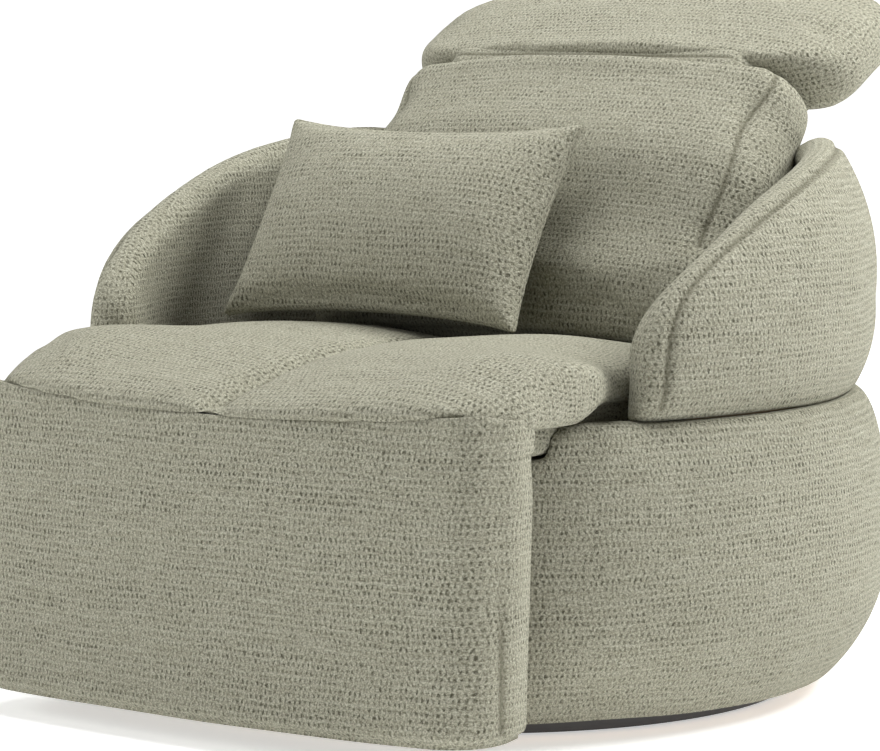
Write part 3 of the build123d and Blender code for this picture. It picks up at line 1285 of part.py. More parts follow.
# Switch panel on the outside of the right arm, with two rocker windows
ROCKER_LOW = -(ROCKER_T - ROCKER_PROUD)
ROCKER_AXLE_L = (ROCKER_PITCH - ROCKER_W) / 4
with BuildPart() as control_bezel:
    with BuildSketch(bezel_plane(BEZEL_FACE_R)):
        RectangleRounded(BEZEL_W - 2 * SEAT_GAP, BEZEL_H - 2 * SEAT_GAP, BEZEL_R)
    extrude(amount=-BEZEL_DEPTH)
    with BuildSketch(bezel_plane(BEZEL_FACE_R)):
        for sign in (-1, 1):
            with Locations((sign * ROCKER_PITCH / 2, 0)):
                Rectangle(ROCKER_W + 2 * ROCKER_GAP, ROCKER_H + 2 * ROCKER_GAP)
    extrude(amount=-(ROCKER_T + BEZEL_PROUD), mode=Mode.SUBTRACT)
    axle_plane = Plane(
        origin=bezel_plane(BEZEL_FACE_R).from_local_coords((-BEZEL_W / 2 + BEZEL_R, 0, ROCKER_LOW / 2)),
        x_dir=(0, 0, 1),
        z_dir=bezel_across,
    )
    with BuildSketch(axle_plane):
        Circle(ROCKER_AXLE_R + PIN_FIT)
    extrude(amount=BEZEL_W - 2 * BEZEL_R, mode=Mode.SUBTRACT)
save(control_bezel, "control_bezel")

# Rocker switches on their own axles
for rocker_name, sign in (("rocker_footrest", -1), ("rocker_back", 1)):
    axle_start = bezel_plane(BEZEL_FACE_R).from_local_coords(
        (sign * ROCKER_PITCH / 2 - ROCKER_W / 2 - ROCKER_AXLE_L, 0, ROCKER_LOW / 2)
    )
    with BuildPart() as rocker:
        with BuildSketch(Plane(origin=axle_start, x_dir=(0, 0, 1), z_dir=bezel_across)):
            Circle(ROCKER_AXLE_R)
        extrude(amount=ROCKER_W + 2 * ROCKER_AXLE_L)
        with BuildSketch(bezel_plane(BEZEL_FACE_R + ROCKER_PROUD)):
            with Locations((sign * ROCKER_PITCH / 2, 0)):
                Rectangle(ROCKER_W, ROCKER_H)
        extrude(amount=-ROCKER_T)
    save(rocker, rocker_name)

# Charging socket low on the rear of the tub
with BuildPart() as charge_socket:
    with BuildSketch(front_plane(TUB_BULGE_R)):
        with Locations((0, TUB_BULGE_Z)):
            Circle(SOCKET_R)
    extrude(amount=SOCKET_DEPTH)
    with BuildSketch(front_plane(TUB_BULGE_R)):
        with Locations((0, TUB_BULGE_Z)):
            Circle(SOCKET_R - SOCKET_WALL)
            Circle(SOCKET_WALL, mode=Mode.SUBTRACT)
    extrude(amount=SOCKET_DEPTH - SOCKET_WALL, mode=Mode.SUBTRACT)
save(charge_socket, "charge_socket")
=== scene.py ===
import json
import math

import bmesh
import bpy
import numpy as np
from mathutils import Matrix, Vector
from mathutils.bvhtree import BVHTree


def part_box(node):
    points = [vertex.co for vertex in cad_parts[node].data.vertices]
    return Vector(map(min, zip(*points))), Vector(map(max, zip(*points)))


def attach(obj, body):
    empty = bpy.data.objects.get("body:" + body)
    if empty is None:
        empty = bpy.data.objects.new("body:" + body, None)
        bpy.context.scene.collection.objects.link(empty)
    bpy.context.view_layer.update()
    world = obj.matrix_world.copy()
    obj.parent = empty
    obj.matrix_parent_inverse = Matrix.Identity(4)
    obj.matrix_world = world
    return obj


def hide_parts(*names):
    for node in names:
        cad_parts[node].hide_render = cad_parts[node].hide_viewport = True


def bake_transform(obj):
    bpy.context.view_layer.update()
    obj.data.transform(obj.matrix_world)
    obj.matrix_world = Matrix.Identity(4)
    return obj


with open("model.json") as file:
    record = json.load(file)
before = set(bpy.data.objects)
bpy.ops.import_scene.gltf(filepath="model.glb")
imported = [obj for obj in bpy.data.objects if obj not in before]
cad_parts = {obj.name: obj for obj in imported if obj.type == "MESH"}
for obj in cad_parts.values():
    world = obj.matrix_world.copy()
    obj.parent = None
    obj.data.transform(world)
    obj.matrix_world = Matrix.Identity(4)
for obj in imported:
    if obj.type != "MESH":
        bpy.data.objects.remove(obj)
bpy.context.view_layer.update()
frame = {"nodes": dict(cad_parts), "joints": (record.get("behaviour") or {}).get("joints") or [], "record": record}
nodes = frame["nodes"]
scene = bpy.context.scene

TURN = 2 * math.pi
X, Y, Z = (1, 0, 0), (0, 1, 0), (0, 0, 1)
# Rays start this far off, outside every piece
RAY_FROM = 1.0
# Distance between the points of a seam
PATH_STEP = 0.012

# Weave of the cloth, and its colours, with painted shade in its seams and, in part, in its pits
ROWS_PER_M, PITS_PER_M = 124.0, 152.0
FACE_FAVOUR = 1.25
SIDE_SHIFT, TOP_SHIFT = 0.37, 0.53
YARN, YARN_PALE, YARN_DULL = (0.292, 0.285, 0.213), (0.368, 0.362, 0.285), (0.292, 0.285, 0.217)
FIBRE_DARK, FIBRE_PALE = (0.122, 0.117, 0.078), (0.53, 0.523, 0.425)
# The seam colour is painted shade in the seam grooves; the pit colour is partly the darker gaps between loops and
# partly painted shade in the dents
SPECK_DARK, PIT_DARK_AND_SHADE, SEAM_SHADE = (0.082, 0.077, 0.047), (0.055, 0.051, 0.030), (0.085, 0.079, 0.05)
SHEEN_TINT = (0.86, 0.85, 0.74, 1.0)
WEAVE_RELIEF = 0.0016

# Wear of metal and plastic
BLOTCHES_PER_M = 30.0
RUB_GAIN, RUB_ADD = 1.7, 0.05

# Slow waves of the foam, and the puckers beside a seam, in seam widths from its middle
LUMP_WAVES, LUMP_SUM = 7, 4
PUCKER_PITCHES, PUCKER_FROM, PUCKER_REACH = (1.0, 1.7, 2.9), 0.2, 2.6

# Air pressure in the covers, and how far they may sink as a share of how far they may swell
PRESSURE, PUFF_IN = 4.0, 0.1


class Tree:
    """Adds nodes to a material and links them by short calls."""

    def __init__(self, name):
        self.mat = bpy.data.materials.new(name)
        self.mat.use_nodes = True
        self.nt = self.mat.node_tree
        self.bsdf = self.nt.nodes["Principled BSDF"]

    def add(self, kind, **values):
        node = self.nt.nodes.new(kind)
        for key, value in values.items():
            setattr(node, key, value)
        return node

    def link(self, out, socket):
        self.nt.links.new(out, socket)

    def feed(self, value, socket):
        """Sets a socket to a number or a colour, or links an output to it."""
        if isinstance(value, (int, float)):
            socket.default_value = value
        elif isinstance(value, tuple):
            socket.default_value = (*value, 1.0)
        else:
            self.link(value, socket)

    def math(self, op, a, b=None):
        node = self.add("ShaderNodeMath", operation=op)
        self.feed(a, node.inputs[0])
        if b is not None:
            self.feed(b, node.inputs[1])
        return node.outputs[0]

    def span(self, value, lo, hi, to_lo=0.0, to_hi=1.0):
        node = self.add("ShaderNodeMapRange", clamp=True)
        for i, v in enumerate((value, lo, hi, to_lo, to_hi)):
            self.feed(v, node.inputs[i])
        return node.outputs[0]

    def mix(self, factor, a, b):
        node = self.add("ShaderNodeMix", data_type="RGBA")
        for i, v in ((0, factor), (6, a), (7, b)):
            self.feed(v, node.inputs[i])
        return node.outputs[2]

    def stretched(self, source, scale):
        node = self.add("ShaderNodeMapping")
        self.link(source, node.inputs["Vector"])
        node.inputs["Scale"].default_value = scale
        return node.outputs[0]

    def noise(self, vector, scale, detail=2.0, rough=0.5, dims="3D"):
        node = self.add("ShaderNodeTexNoise", noise_dimensions=dims)
        self.link(vector, node.inputs["Vector"])
        node.inputs["Scale"].default_value = scale
        node.inputs["Detail"].default_value = detail
        node.inputs["Roughness"].default_value = rough
        return node.outputs["Fac"]

    def bump(self, height, distance, strength):
        node = self.add("ShaderNodeBump")
        self.link(height, node.inputs["Height"])
        node.inputs["Distance"].default_value = distance
        node.inputs["Strength"].default_value = strength
        return node.outputs[0]


# Materials
def chenille():
    """Chunky woven chenille: rows of short dark pits between yarn loops, their darkness partly painted shade, with
    slubs along the rows and painted shade in the seams.
    """
    t = Tree("chenille")
    uv = t.add("ShaderNodeUVMap", uv_map="weave").outputs[0]
    split = t.add("ShaderNodeSeparateXYZ")
    t.link(uv, split.inputs[0])
    u, v = split.outputs[0], split.outputs[1]

    # Noise that the rows, the pits and the colours share
    sway = t.noise(uv, 9.0, 2.0, 0.5, "2D")
    jitter = t.noise(uv, 150.0, 1.0, 0.5, "2D")
    shift = t.noise(t.stretched(uv, (190.0, 160.0, 1.0)), 1.0, 1.0, 0.5, "2D")
    grain = t.noise(uv, 430.0, 2.0, 0.8, "2D")
    band = t.noise(t.stretched(uv, (5.0, 42.0, 1.0)), 1.0, 2.0, 0.6, "2D")
    speck = t.noise(t.stretched(uv, (330.0, 270.0, 1.0)), 1.0, 2.0, 0.6, "2D")
    slub = t.noise(t.stretched(uv, (14.0, 240.0, 1.0)), 1.0, 3.0, 0.65, "2D")
    patch = t.noise(uv, 11.0, 2.0, 0.5, "2D")

    # Rows that sway, each shifted by its own amount, and the cells along them
    rows = t.math("ADD", t.math("MULTIPLY", v, ROWS_PER_M), t.math("MULTIPLY", sway, 1.1))
    rows = t.math("ADD", rows, t.math("MULTIPLY", jitter, 0.5))
    row = t.math("FLOOR", rows)
    row_luck = t.add("ShaderNodeTexWhiteNoise", noise_dimensions="1D")
    t.link(row, row_luck.inputs["W"])
    row_shift = t.math("MULTIPLY", row_luck.outputs["Value"], 7.0)
    cols = t.math("ADD", t.math("MULTIPLY", u, PITS_PER_M), row_shift)
    cols = t.math("ADD", cols, t.math("MULTIPLY", shift, 0.75))
    cell = t.add("ShaderNodeCombineXYZ")
    t.link(t.math("FLOOR", cols), cell.inputs[0])
    t.link(row, cell.inputs[1])
    luck = t.add("ShaderNodeTexWhiteNoise", noise_dimensions="2D")
    t.link(cell.outputs[0], luck.inputs["Vector"])

    # One pit in the middle of each cell, of its own depth, its colour partly painted shade in the dent
    side = t.math("ABSOLUTE", t.math("SUBTRACT", t.math("FRACT", cols), 0.5))
    level = t.math("ABSOLUTE", t.math("SUBTRACT", t.math("FRACT", rows), 0.5))
    pit = t.math("MULTIPLY", t.span(side, 0.08, 0.31, 1.0, 0.0), t.span(level, 0.14, 0.44, 1.0, 0.0))
    pit = t.math("MULTIPLY", pit, t.span(luck.outputs["Value"], 0.0, 0.8, 0.4, 1.0))
    pit = t.math("MULTIPLY", pit, t.span(band, 0.34, 0.66, 1.0, 0.6))
    pit = t.math("MULTIPLY", pit, t.span(grain, 0.30, 0.62, 1.15, 0.6))
    speck = t.span(speck, 0.53, 0.68, 0.0, 1.0)
    # Mask of painted shade in the seam grooves
    seam = t.add("ShaderNodeAttribute", attribute_name="seam").outputs["Fac"]

    colour = t.mix(t.span(slub, 0.33, 0.70), YARN, YARN_PALE)
    colour = t.mix(t.span(patch, 0.3, 0.7, 0.0, 0.3), colour, YARN_DULL)
    colour = t.mix(t.span(grain, 0.32, 0.54, 0.6, 0.0), colour, FIBRE_DARK)
    colour = t.mix(t.span(grain, 0.50, 0.70, 0.0, 0.6), colour, FIBRE_PALE)
    colour = t.mix(t.math("MULTIPLY", speck, 0.4), colour, SPECK_DARK)
    # Dark pits: partly the darker gaps between loops, partly painted shade in the dents
    colour = t.mix(t.span(pit, 0.0, 0.75, 0.0, 0.88), colour, PIT_DARK_AND_SHADE)
    # Painted shade along the seam grooves
    colour = t.mix(t.math("MULTIPLY", seam, 0.75), colour, SEAM_SHADE)
    t.link(colour, t.bsdf.inputs["Base Color"])

    relief = t.math("ADD", t.math("MULTIPLY", pit, -1.0), t.math("MULTIPLY", slub, 0.4))
    relief = t.math("ADD", relief, t.math("MULTIPLY", grain, 0.6))
    relief = t.math("ADD", relief, t.math("MULTIPLY", speck, -0.4))
    t.link(t.bump(relief, WEAVE_RELIEF, 0.8), t.bsdf.inputs["Normal"])
    t.bsdf.inputs["Roughness"].default_value = 0.95
    t.bsdf.inputs["Specular IOR Level"].default_value = 0.12
    t.bsdf.inputs["Sheen Weight"].default_value = 0.12
    t.bsdf.inputs["Sheen Roughness"].default_value = 0.6
    t.bsdf.inputs["Sheen Tint"].default_value = SHEEN_TINT
    return t.mat


def worn(name, base, dark, rough, metal, grain, bump):
    """Metal or plastic with grain, blotches and rubbed edges."""
    t = Tree(name)
    place = t.add("ShaderNodeTexCoord").outputs["Object"]
    fine = t.noise(t.stretched(place, grain), 1.0, 3.0, 0.6)
    blotch = t.noise(place, BLOTCHES_PER_M, 3.0, 0.55)
    edge = t.add("ShaderNodeNewGeometry").outputs["Pointiness"]
    rub = t.span(edge, 0.52, 0.58, 0.0, 0.35)
    colour = t.mix(t.span(blotch, 0.3, 0.7, 0.0, 0.6), base, dark)
    colour = t.mix(rub, colour, tuple(min(1.0, c * RUB_GAIN + RUB_ADD) for c in base))
    t.link(colour, t.bsdf.inputs["Base Color"])
    t.link(t.span(fine, 0.25, 0.75, rough - 0.08, rough + 0.1), t.bsdf.inputs["Roughness"])
    t.bsdf.inputs["Metallic"].default_value = metal
    t.link(t.bump(fine, bump, 0.5), t.bsdf.inputs["Normal"])
    return t.mat


def plywood():
    """Raw plywood: stretched grain with darker glue lines."""
    t = Tree("plywood")
    place = t.add("ShaderNodeTexCoord").outputs["Object"]
    grain = t.noise(t.stretched(place, (6.0, 90.0, 160.0)), 1.0, 5.0, 0.6)
    ring = t.noise(t.stretched(place, (2.0, 14.0, 26.0)), 1.0, 3.0, 0.5)
    colour = t.mix(t.span(grain, 0.3, 0.7), (0.60, 0.44, 0.27), (0.44, 0.30, 0.165))
    colour = t.mix(t.span(ring, 0.35, 0.65, 0.0, 0.5), colour, (0.70, 0.55, 0.37))
    t.link(colour, t.bsdf.inputs["Base Color"])
    t.link(t.span(grain, 0.3, 0.7, 0.55, 0.75), t.bsdf.inputs["Roughness"])
    t.link(t.bump(grain, 0.0006, 0.5), t.bsdf.inputs["Normal"])
    return t.mat


def strap():
    """Woven elastic strap: fine ribs across a dark band."""
    t = Tree("strap")
    place = t.add("ShaderNodeTexCoord").outputs["Object"]
    wave = t.add("ShaderNodeTexWave", wave_type="BANDS", bands_direction="DIAGONAL")
    t.link(place, wave.inputs["Vector"])
    wave.inputs["Scale"].default_value = 180.0
    wave.inputs["Distortion"].default_value = 0.6
    rib = wave.outputs["Fac"]
    t.link(t.mix(rib, (0.02, 0.02, 0.02), (0.075, 0.073, 0.07)), t.bsdf.inputs["Base Color"])
    t.bsdf.inputs["Roughness"].default_value = 0.9
    t.link(t.bump(rib, 0.0006, 0.7), t.bsdf.inputs["Normal"])
    return t.mat


CLOTH = chenille()
SLOT_MATERIALS = {
    "upholstery_fabric": CLOTH,
    "webbing_straps": strap(),
    "plywood": plywood(),
    "black_steel": worn("black_steel", (0.030, 0.030, 0.032), (0.018, 0.018, 0.02),
                        rough=0.42, metal=0.25, grain=(400, 400, 400), bump=0.0003),
    "zinc_steel": worn("zinc_steel", (0.56, 0.57, 0.58), (0.44, 0.45, 0.46),
                       rough=0.34, metal=1.0, grain=(30, 700, 700), bump=0.0002),
    "bearing_steel": worn("bearing_steel", (0.74, 0.74, 0.76), (0.62, 0.62, 0.64),
                          rough=0.16, metal=1.0, grain=(500, 500, 500), bump=0.0001),
    "black_plastic": worn("black_plastic", (0.028, 0.028, 0.03), (0.02, 0.02, 0.021),
                          rough=0.55, metal=0.0, grain=(1500, 1500, 1500), bump=0.0003),
    "glide_plastic": worn("glide_plastic", (0.13, 0.13, 0.13), (0.09, 0.09, 0.09),
                          rough=0.5, metal=0.0, grain=(900, 900, 900), bump=0.0002),
}
for part in frame["record"]["subparts"]:
    node = nodes[part["node"]]
    node.data.materials.clear()
    node.data.materials.append(SLOT_MATERIALS[part["material_slot"]])


# Mesh helpers
def placed(name, data):
    """A new object in the scene."""
    obj = bpy.data.objects.new(name, data)
    scene.collection.objects.link(obj)
    return obj


def apply_modifiers(obj):
    graph = bpy.context.evaluated_depsgraph_get()
    mesh = bpy.data.meshes.new_from_object(obj.evaluated_get(graph))
    old = obj.data
    obj.modifiers.clear()
    obj.data = mesh
    bpy.data.meshes.remove(old)


def from_node(name, node_name):
    """A new object with a copy of a CAD node's mesh."""
    bm = bmesh.new()
    bm.from_mesh(nodes[node_name].data)
    mesh = bpy.data.meshes.new(name)
    bm.to_mesh(mesh)
    bm.free()
    return placed(name, mesh)


def soften(obj, times):
    mod = obj.modifiers.new("soft", "SMOOTH")
    mod.factor = 0.5
    mod.iterations = times
    apply_modifiers(obj)


def voxel(obj, size, smooth):
    """Even quads all over, then smoothed."""
    mod = obj.modifiers.new("remesh", "REMESH")
    mod.mode = "VOXEL"
    mod.voxel_size = size
    apply_modifiers(obj)
    soften(obj, smooth)


def finer(obj):
    mod = obj.modifiers.new("finer", "SUBSURF")
    mod.levels = mod.render_levels = 1
    apply_modifiers(obj)


def vectors_of(items, what):
    """A vector of each point or face, as rows."""
    v = np.empty(len(items) * 3)
    items.foreach_get(what, v)
    return v.reshape(-1, 3)


def points_of(obj):
    return vectors_of(obj.data.vertices, "co")


def normals_of(obj):
    return vectors_of(obj.data.vertices, "normal")


def set_points(obj, p):
    obj.data.vertices.foreach_set("co", np.ascontiguousarray(p).ravel())
    obj.data.update()


def tree_of(obj):
    bm = bmesh.new()
    bm.from_mesh(obj.data)
    tree = BVHTree.FromBMesh(bm)
    bm.free()
    return tree


def ease(x, lo, hi):
    t = np.clip((np.asarray(x, float) - lo) / (hi - lo), 0, 1)
    return t * t * (3 - 2 * t)


def plan_angle(p):
    """Angle round the swivel axis: 0 at the front, 180 at the rear, positive to the sitter's left."""
    return np.degrees(np.arctan2(p[:, 0], -p[:, 1]))


def leaning(angle):
    """Directions up and out of a face that leans back by an angle in degrees."""
    a = math.radians(angle)
    up = Vector((0, math.sin(a), math.cos(a)))
    return up, Vector((0, -up.z, up.y))


def puff(obj, cap, frames, still=None):
    """Blows the cover up a little with a cloth simulation.

    Each point moves along its normal, outwards by cap at most, and less where still is near 1.
    """
    before, out = points_of(obj), normals_of(obj)
    mod = obj.modifiers.new("cloth", "CLOTH")
    s = mod.settings
    s.quality = 5
    s.mass = 0.3
    s.tension_stiffness = 12
    s.compression_stiffness = 12
    s.shear_stiffness = 4
    s.bending_stiffness = 1.2
    s.use_pressure = True
    s.uniform_pressure_force = PRESSURE
    s.effector_weights.gravity = 0.0
    mod.collision_settings.use_collision = False
    mod.point_cache.frame_start = 1
    mod.point_cache.frame_end = frames
    for f in range(1, frames + 1):
        scene.frame_set(f)
    apply_modifiers(obj)
    scene.frame_set(1)
    after = points_of(obj)
    swell = np.clip(((after - before) * out).sum(axis=1), -PUFF_IN * cap, cap)
    if still is not None:
        swell *= 1 - still
    set_points(obj, before + out * swell[:, None])


def even(obj, path, times=6):
    """The same path with its small steps smoothed away, laid back on the piece."""
    path = np.array(path, float)
    for _ in range(times):
        path[1:-1] = (path[:-2] + 2 * path[1:-1] + path[2:]) / 4
    tree = tree_of(obj)
    return [tuple(tree.find_nearest(Vector(spot))[0]) for spot in path]


def near_path(p, path):
    """Distance of each point to a polyline, and how far along it is."""
    path = np.asarray(path, float)
    best = np.full(len(p), np.inf)
    along = np.zeros(len(p))
    run = 0.0
    for a, b in zip(path[:-1], path[1:]):
        d = b - a
        length = np.linalg.norm(d)
        t = np.clip(((p - a) @ d) / (length * length), 0, 1)
        dist = np.linalg.norm(p - a - t[:, None] * d, axis=1)
        hit = dist < best
        best[hit] = dist[hit]
        along[hit] = run + t[hit] * length
        run += length
    return best, along


# The seam attribute is a mask of painted shade in the seam grooves
def ensure_seam_shade(obj):
    attr = obj.data.attributes.get("seam")
    if attr is None:
        attr = obj.data.attributes.new("seam", "FLOAT", "POINT")
    return attr


def groove(obj, path, width, depth, shade_width, pucker=0.0, pitch=0.03, seed=0):
    """Sews a seam: pulls the cover in along a path, with puckers beside it, and paints shade into the groove."""
    p, n = points_of(obj), normals_of(obj)
    dist, along = near_path(p, path)
    pull = depth * np.exp(-((dist / width) ** 2))
    if pucker:
        rng = np.random.default_rng(seed)
        phases = rng.uniform(0, TURN, len(PUCKER_PITCHES))
        waves = [np.sin(along * TURN / (pitch * k) + f) for k, f in zip(PUCKER_PITCHES, phases)]
        beside = np.exp(-((dist / (PUCKER_REACH * width)) ** 2)) * (dist > PUCKER_FROM * width)
        pull += pucker * sum(waves) / len(waves) * beside
    set_points(obj, p - n * pull[:, None])
    # Paints shade into the groove, darkest at its middle
    attr = ensure_seam_shade(obj)
    old = np.empty(len(p))
    attr.data.foreach_get("value", old)
    attr.data.foreach_set("value", np.maximum(old, np.exp(-((dist / shade_width) ** 2))))


def lumps(obj, height, size, seed):
    """Slow unevenness of foam under the cover."""
    p, n = points_of(obj), normals_of(obj)
    rng = np.random.default_rng(seed)
    total = np.zeros(len(p))
    for _ in range(LUMP_WAVES):
        d = rng.normal(size=3)
        d /= np.linalg.norm(d)
        total += np.sin((p @ d) * TURN / (size * rng.uniform(0.7, 1.6)) + rng.uniform(0, TURN))
    set_points(obj, p + n * (height * total / LUMP_SUM)[:, None])


def lay_weave(obj, coords, facing, lap=None):
    """Lays the weave on in metres: each face takes the two of its directions that it shows best.

    coords and facing hold values across, up and out, of the points and of the faces.
    With lap, across comes round to its start after that length.
    """
    mesh = obj.data
    across, up, out = coords
    to_side, to_top, to_front = facing
    pick = np.argmax(np.stack([to_front * FACE_FAVOUR, to_top, to_side]), axis=0)
    starts = np.empty(len(mesh.polygons), int)
    totals = np.empty(len(mesh.polygons), int)
    mesh.polygons.foreach_get("loop_start", starts)
    mesh.polygons.foreach_get("loop_total", totals)
    verts = np.empty(len(mesh.loops), int)
    mesh.loops.foreach_get("vertex_index", verts)
    pick = np.repeat(pick, totals)
    u = np.where(pick == 2, out[verts] + SIDE_SHIFT, across[verts])
    v = np.where(pick == 1, out[verts] + TOP_SHIFT, up[verts])
    if lap:
        least = np.repeat(np.minimum.reduceat(u, starts), totals)
        u = np.where(u - least > lap / 2, u - lap, u)
    layer = mesh.uv_layers.new(name="weave")
    layer.data.foreach_set("uv", np.stack([u, v], axis=1).ravel())


def weave_flat(obj, across, up, out):
    """Weave along three fixed directions."""
    ways = [np.asarray(way, float) for way in (across, up, out)]
    p, n = points_of(obj), vectors_of(obj.data.polygons, "normal")
    lay_weave(obj, [p @ way for way in ways], [np.abs(n @ way) for way in ways])


def weave_round(obj, radius):
    """Weave round the swivel axis: across is the angle times a radius."""
    p, n = points_of(obj), vectors_of(obj.data.polygons, "normal")
    mid = vectors_of(obj.data.polygons, "center")
    r = np.maximum(np.hypot(mid[:, 0], mid[:, 1]), 1e-6)
    to_front = np.abs(n[:, 0] * mid[:, 0] + n[:, 1] * mid[:, 1]) / r
    to_top = np.abs(n[:, 2])
    to_side = np.sqrt(np.maximum(0, 1 - to_front * to_front - to_top * to_top))
    coords = (np.arctan2(p[:, 0], -p[:, 1]) * radius, p[:, 2], np.hypot(p[:, 0], p[:, 1]))
    lay_weave(obj, coords, (to_side, to_top, to_front), TURN * radius)


def ring_shell(name, outer, inner):
    """Closed shell between two grids of points: rows go up, columns go along an open outline."""
    rows, cols = len(outer), len(outer[0])
    verts = [tuple(v) for o, i in zip(outer, inner) for v in [*o, *reversed(i)]]
    width = 2 * cols
    faces = []
    for r in range(rows - 1):
        for c in range(width):
            n = (c + 1) % width
            faces.append((r * width + c, r * width + n, (r + 1) * width + n, (r + 1) * width + c))
    for r, flip in ((0, True), (rows - 1, False)):
        for c in range(cols - 1):
            start, end = r * width + c, (r + 1) * width - 1 - c
            quad = (start, start + 1, end - 1, end)
            faces.append(quad[::-1] if flip else quad)
    mesh = bpy.data.meshes.new(name)
    mesh.from_pydata(verts, [], faces)
    bm = bmesh.new()
    bm.from_mesh(mesh)
    bmesh.ops.recalc_face_normals(bm, faces=bm.faces)
    bm.to_mesh(mesh)
    bm.free()
    return placed(name, mesh)


def dress(obj):
    obj.data.materials.clear()
    obj.data.materials.append(CLOTH)
    ensure_seam_shade(obj)
    for poly in obj.data.polygons:
        poly.use_smooth = True


def upholster(obj, body, node_name):
    """Finishes a soft piece: smooth shading, the cloth, its body and the CAD node it stands for."""
    dress(obj)
    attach(obj, body)
    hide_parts(node_name)


# Tub
TUB_WEAVE_R = 0.50

tub = from_node("tub_cover", "tub_shell")
voxel(tub, size=0.006, smooth=4)
lumps(tub, height=0.0010, size=0.22, seed=3)
weave_round(tub, TUB_WEAVE_R)
upholster(tub, "chassis", "tub_shell")

# Arm shell, with the seam that follows its edge and leaves a rolled rim
ARM_WEAVE_R = 0.47
ARM_FRONT_R = 0.46
ARM_RIM = 0.022
# In degrees: where the seam starts behind the front edge, where it ends, its step and its slack
RIM_START, RIM_END, RIM_STEP, RIM_NEAR = 4.0, 178.0, 3.0, 1.0
STRIP_NEAR, LEVEL_NEAR, FRONT_INSET = 0.7, 0.004, 0.01
# The seam is looked for no more than this many insets below the ridge
RIM_DEPTH = 3


def edge_seam(obj, side, inset):
    """Points on the outer face, a little way off the ridge and then down behind the front edge."""
    p = points_of(obj)
    a = plan_angle(p) * side
    r = np.hypot(p[:, 0], p[:, 1])
    path = []
    for angle in np.arange(a[a > 0].min() + RIM_START, RIM_END, RIM_STEP):
        near = np.abs(a - angle) < RIM_NEAR
        if not near.any():
            continue
        crest = near.nonzero()[0][np.argmax(p[near, 2])]
        outside = near & (r > r[crest]) & (p[:, 2] > p[crest, 2] - RIM_DEPTH * inset)
        if not outside.any():
            continue
        off = np.abs(np.linalg.norm(p - p[crest], axis=1) - inset)
        path.append(p[outside.nonzero()[0][np.argmin(off[outside])]])
    down = []
    for z in np.arange(p[:, 2].min() + FRONT_INSET, path[0][2] - FRONT_INSET, PATH_STEP):
        near = (np.abs(p[:, 2] - z) < LEVEL_NEAR) & (a > 0)
        behind = a[near].min() + np.degrees(inset / ARM_FRONT_R)
        strip = near & (np.abs(a - behind) < STRIP_NEAR)
        down.append(p[strip.nonzero()[0][np.argmax(r[strip])]])
    return even(obj, down + path)


arm = from_node("arm_cover", "arm_shell")
voxel(arm, size=0.005, smooth=6)
lumps(arm, height=0.0008, size=0.2, seed=5)
for side in (1, -1):
    seam = edge_seam(arm, side, ARM_RIM)
    groove(arm, seam, width=0.006, depth=0.005, shade_width=0.0036, pucker=0.0003, seed=side + 2)
weave_round(arm, ARM_WEAVE_R)
upholster(arm, "chassis", "arm_shell")

# Seat, with its sewn channel
pad_lo, pad_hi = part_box("footrest_pad")
SEAM_LOW, SEAM_HIGH = 0.383, 0.404
CHANNEL_FRONT, CHANNEL_REAR = -0.552, 0.03
# Ranges over which each change of the seat's form sets in: to the side, to the front and up
NOSE_FRONT, NOSE_Y, NOSE_BLEND, SEAT_NOSE = -0.52, (0.47, 0.54), 0.035, 0.012
LIFT_X, LIFT_Y, LIFT_Z, SEAT_LIFT = (0.18, 0.33), (0.24, 0.40), (0.40, 0.435), 0.020
CORNER_X, CORNER_Y, CORNER_Z = (0.24, 0.38), (0.34, 0.53), (0.398, 0.45)
CORNER_IN, CORNER_BACK = 0.078, 0.060
SIDE_X, SIDE_Y, SIDE_Z, SEAT_SIDE = (0.315, 0.335), (0.25, 0.29), (0.366, 0.384), 0.006
SKIRT_X, SKIRT_Y, SKIRT_BLEND, SKIRT_EDGE, SKIRT_Z = (0.322, 0.345), (0.29, 0.35), 0.03, 0.006, 0.378
PLUG_X, PLUG_Y, PLUG_LOW = (0.262, 0.29), (0.29, 0.34), 0.372
# Profile of the tub's wall, which the seat's plug follows
TUB_RIM_R, TUB_BULGE, TUB_BULGE_Z, TUB_BULGE_H, TUB_CLEAR = 0.476, 0.044, 0.185, 0.189, 0.004


def seam_z(x):
    """Height of the seam between seat and footrest panel: lowest in the middle."""
    return SEAM_LOW + (SEAM_HIGH - SEAM_LOW) * (np.asarray(x) / pad_hi[0]) ** 2


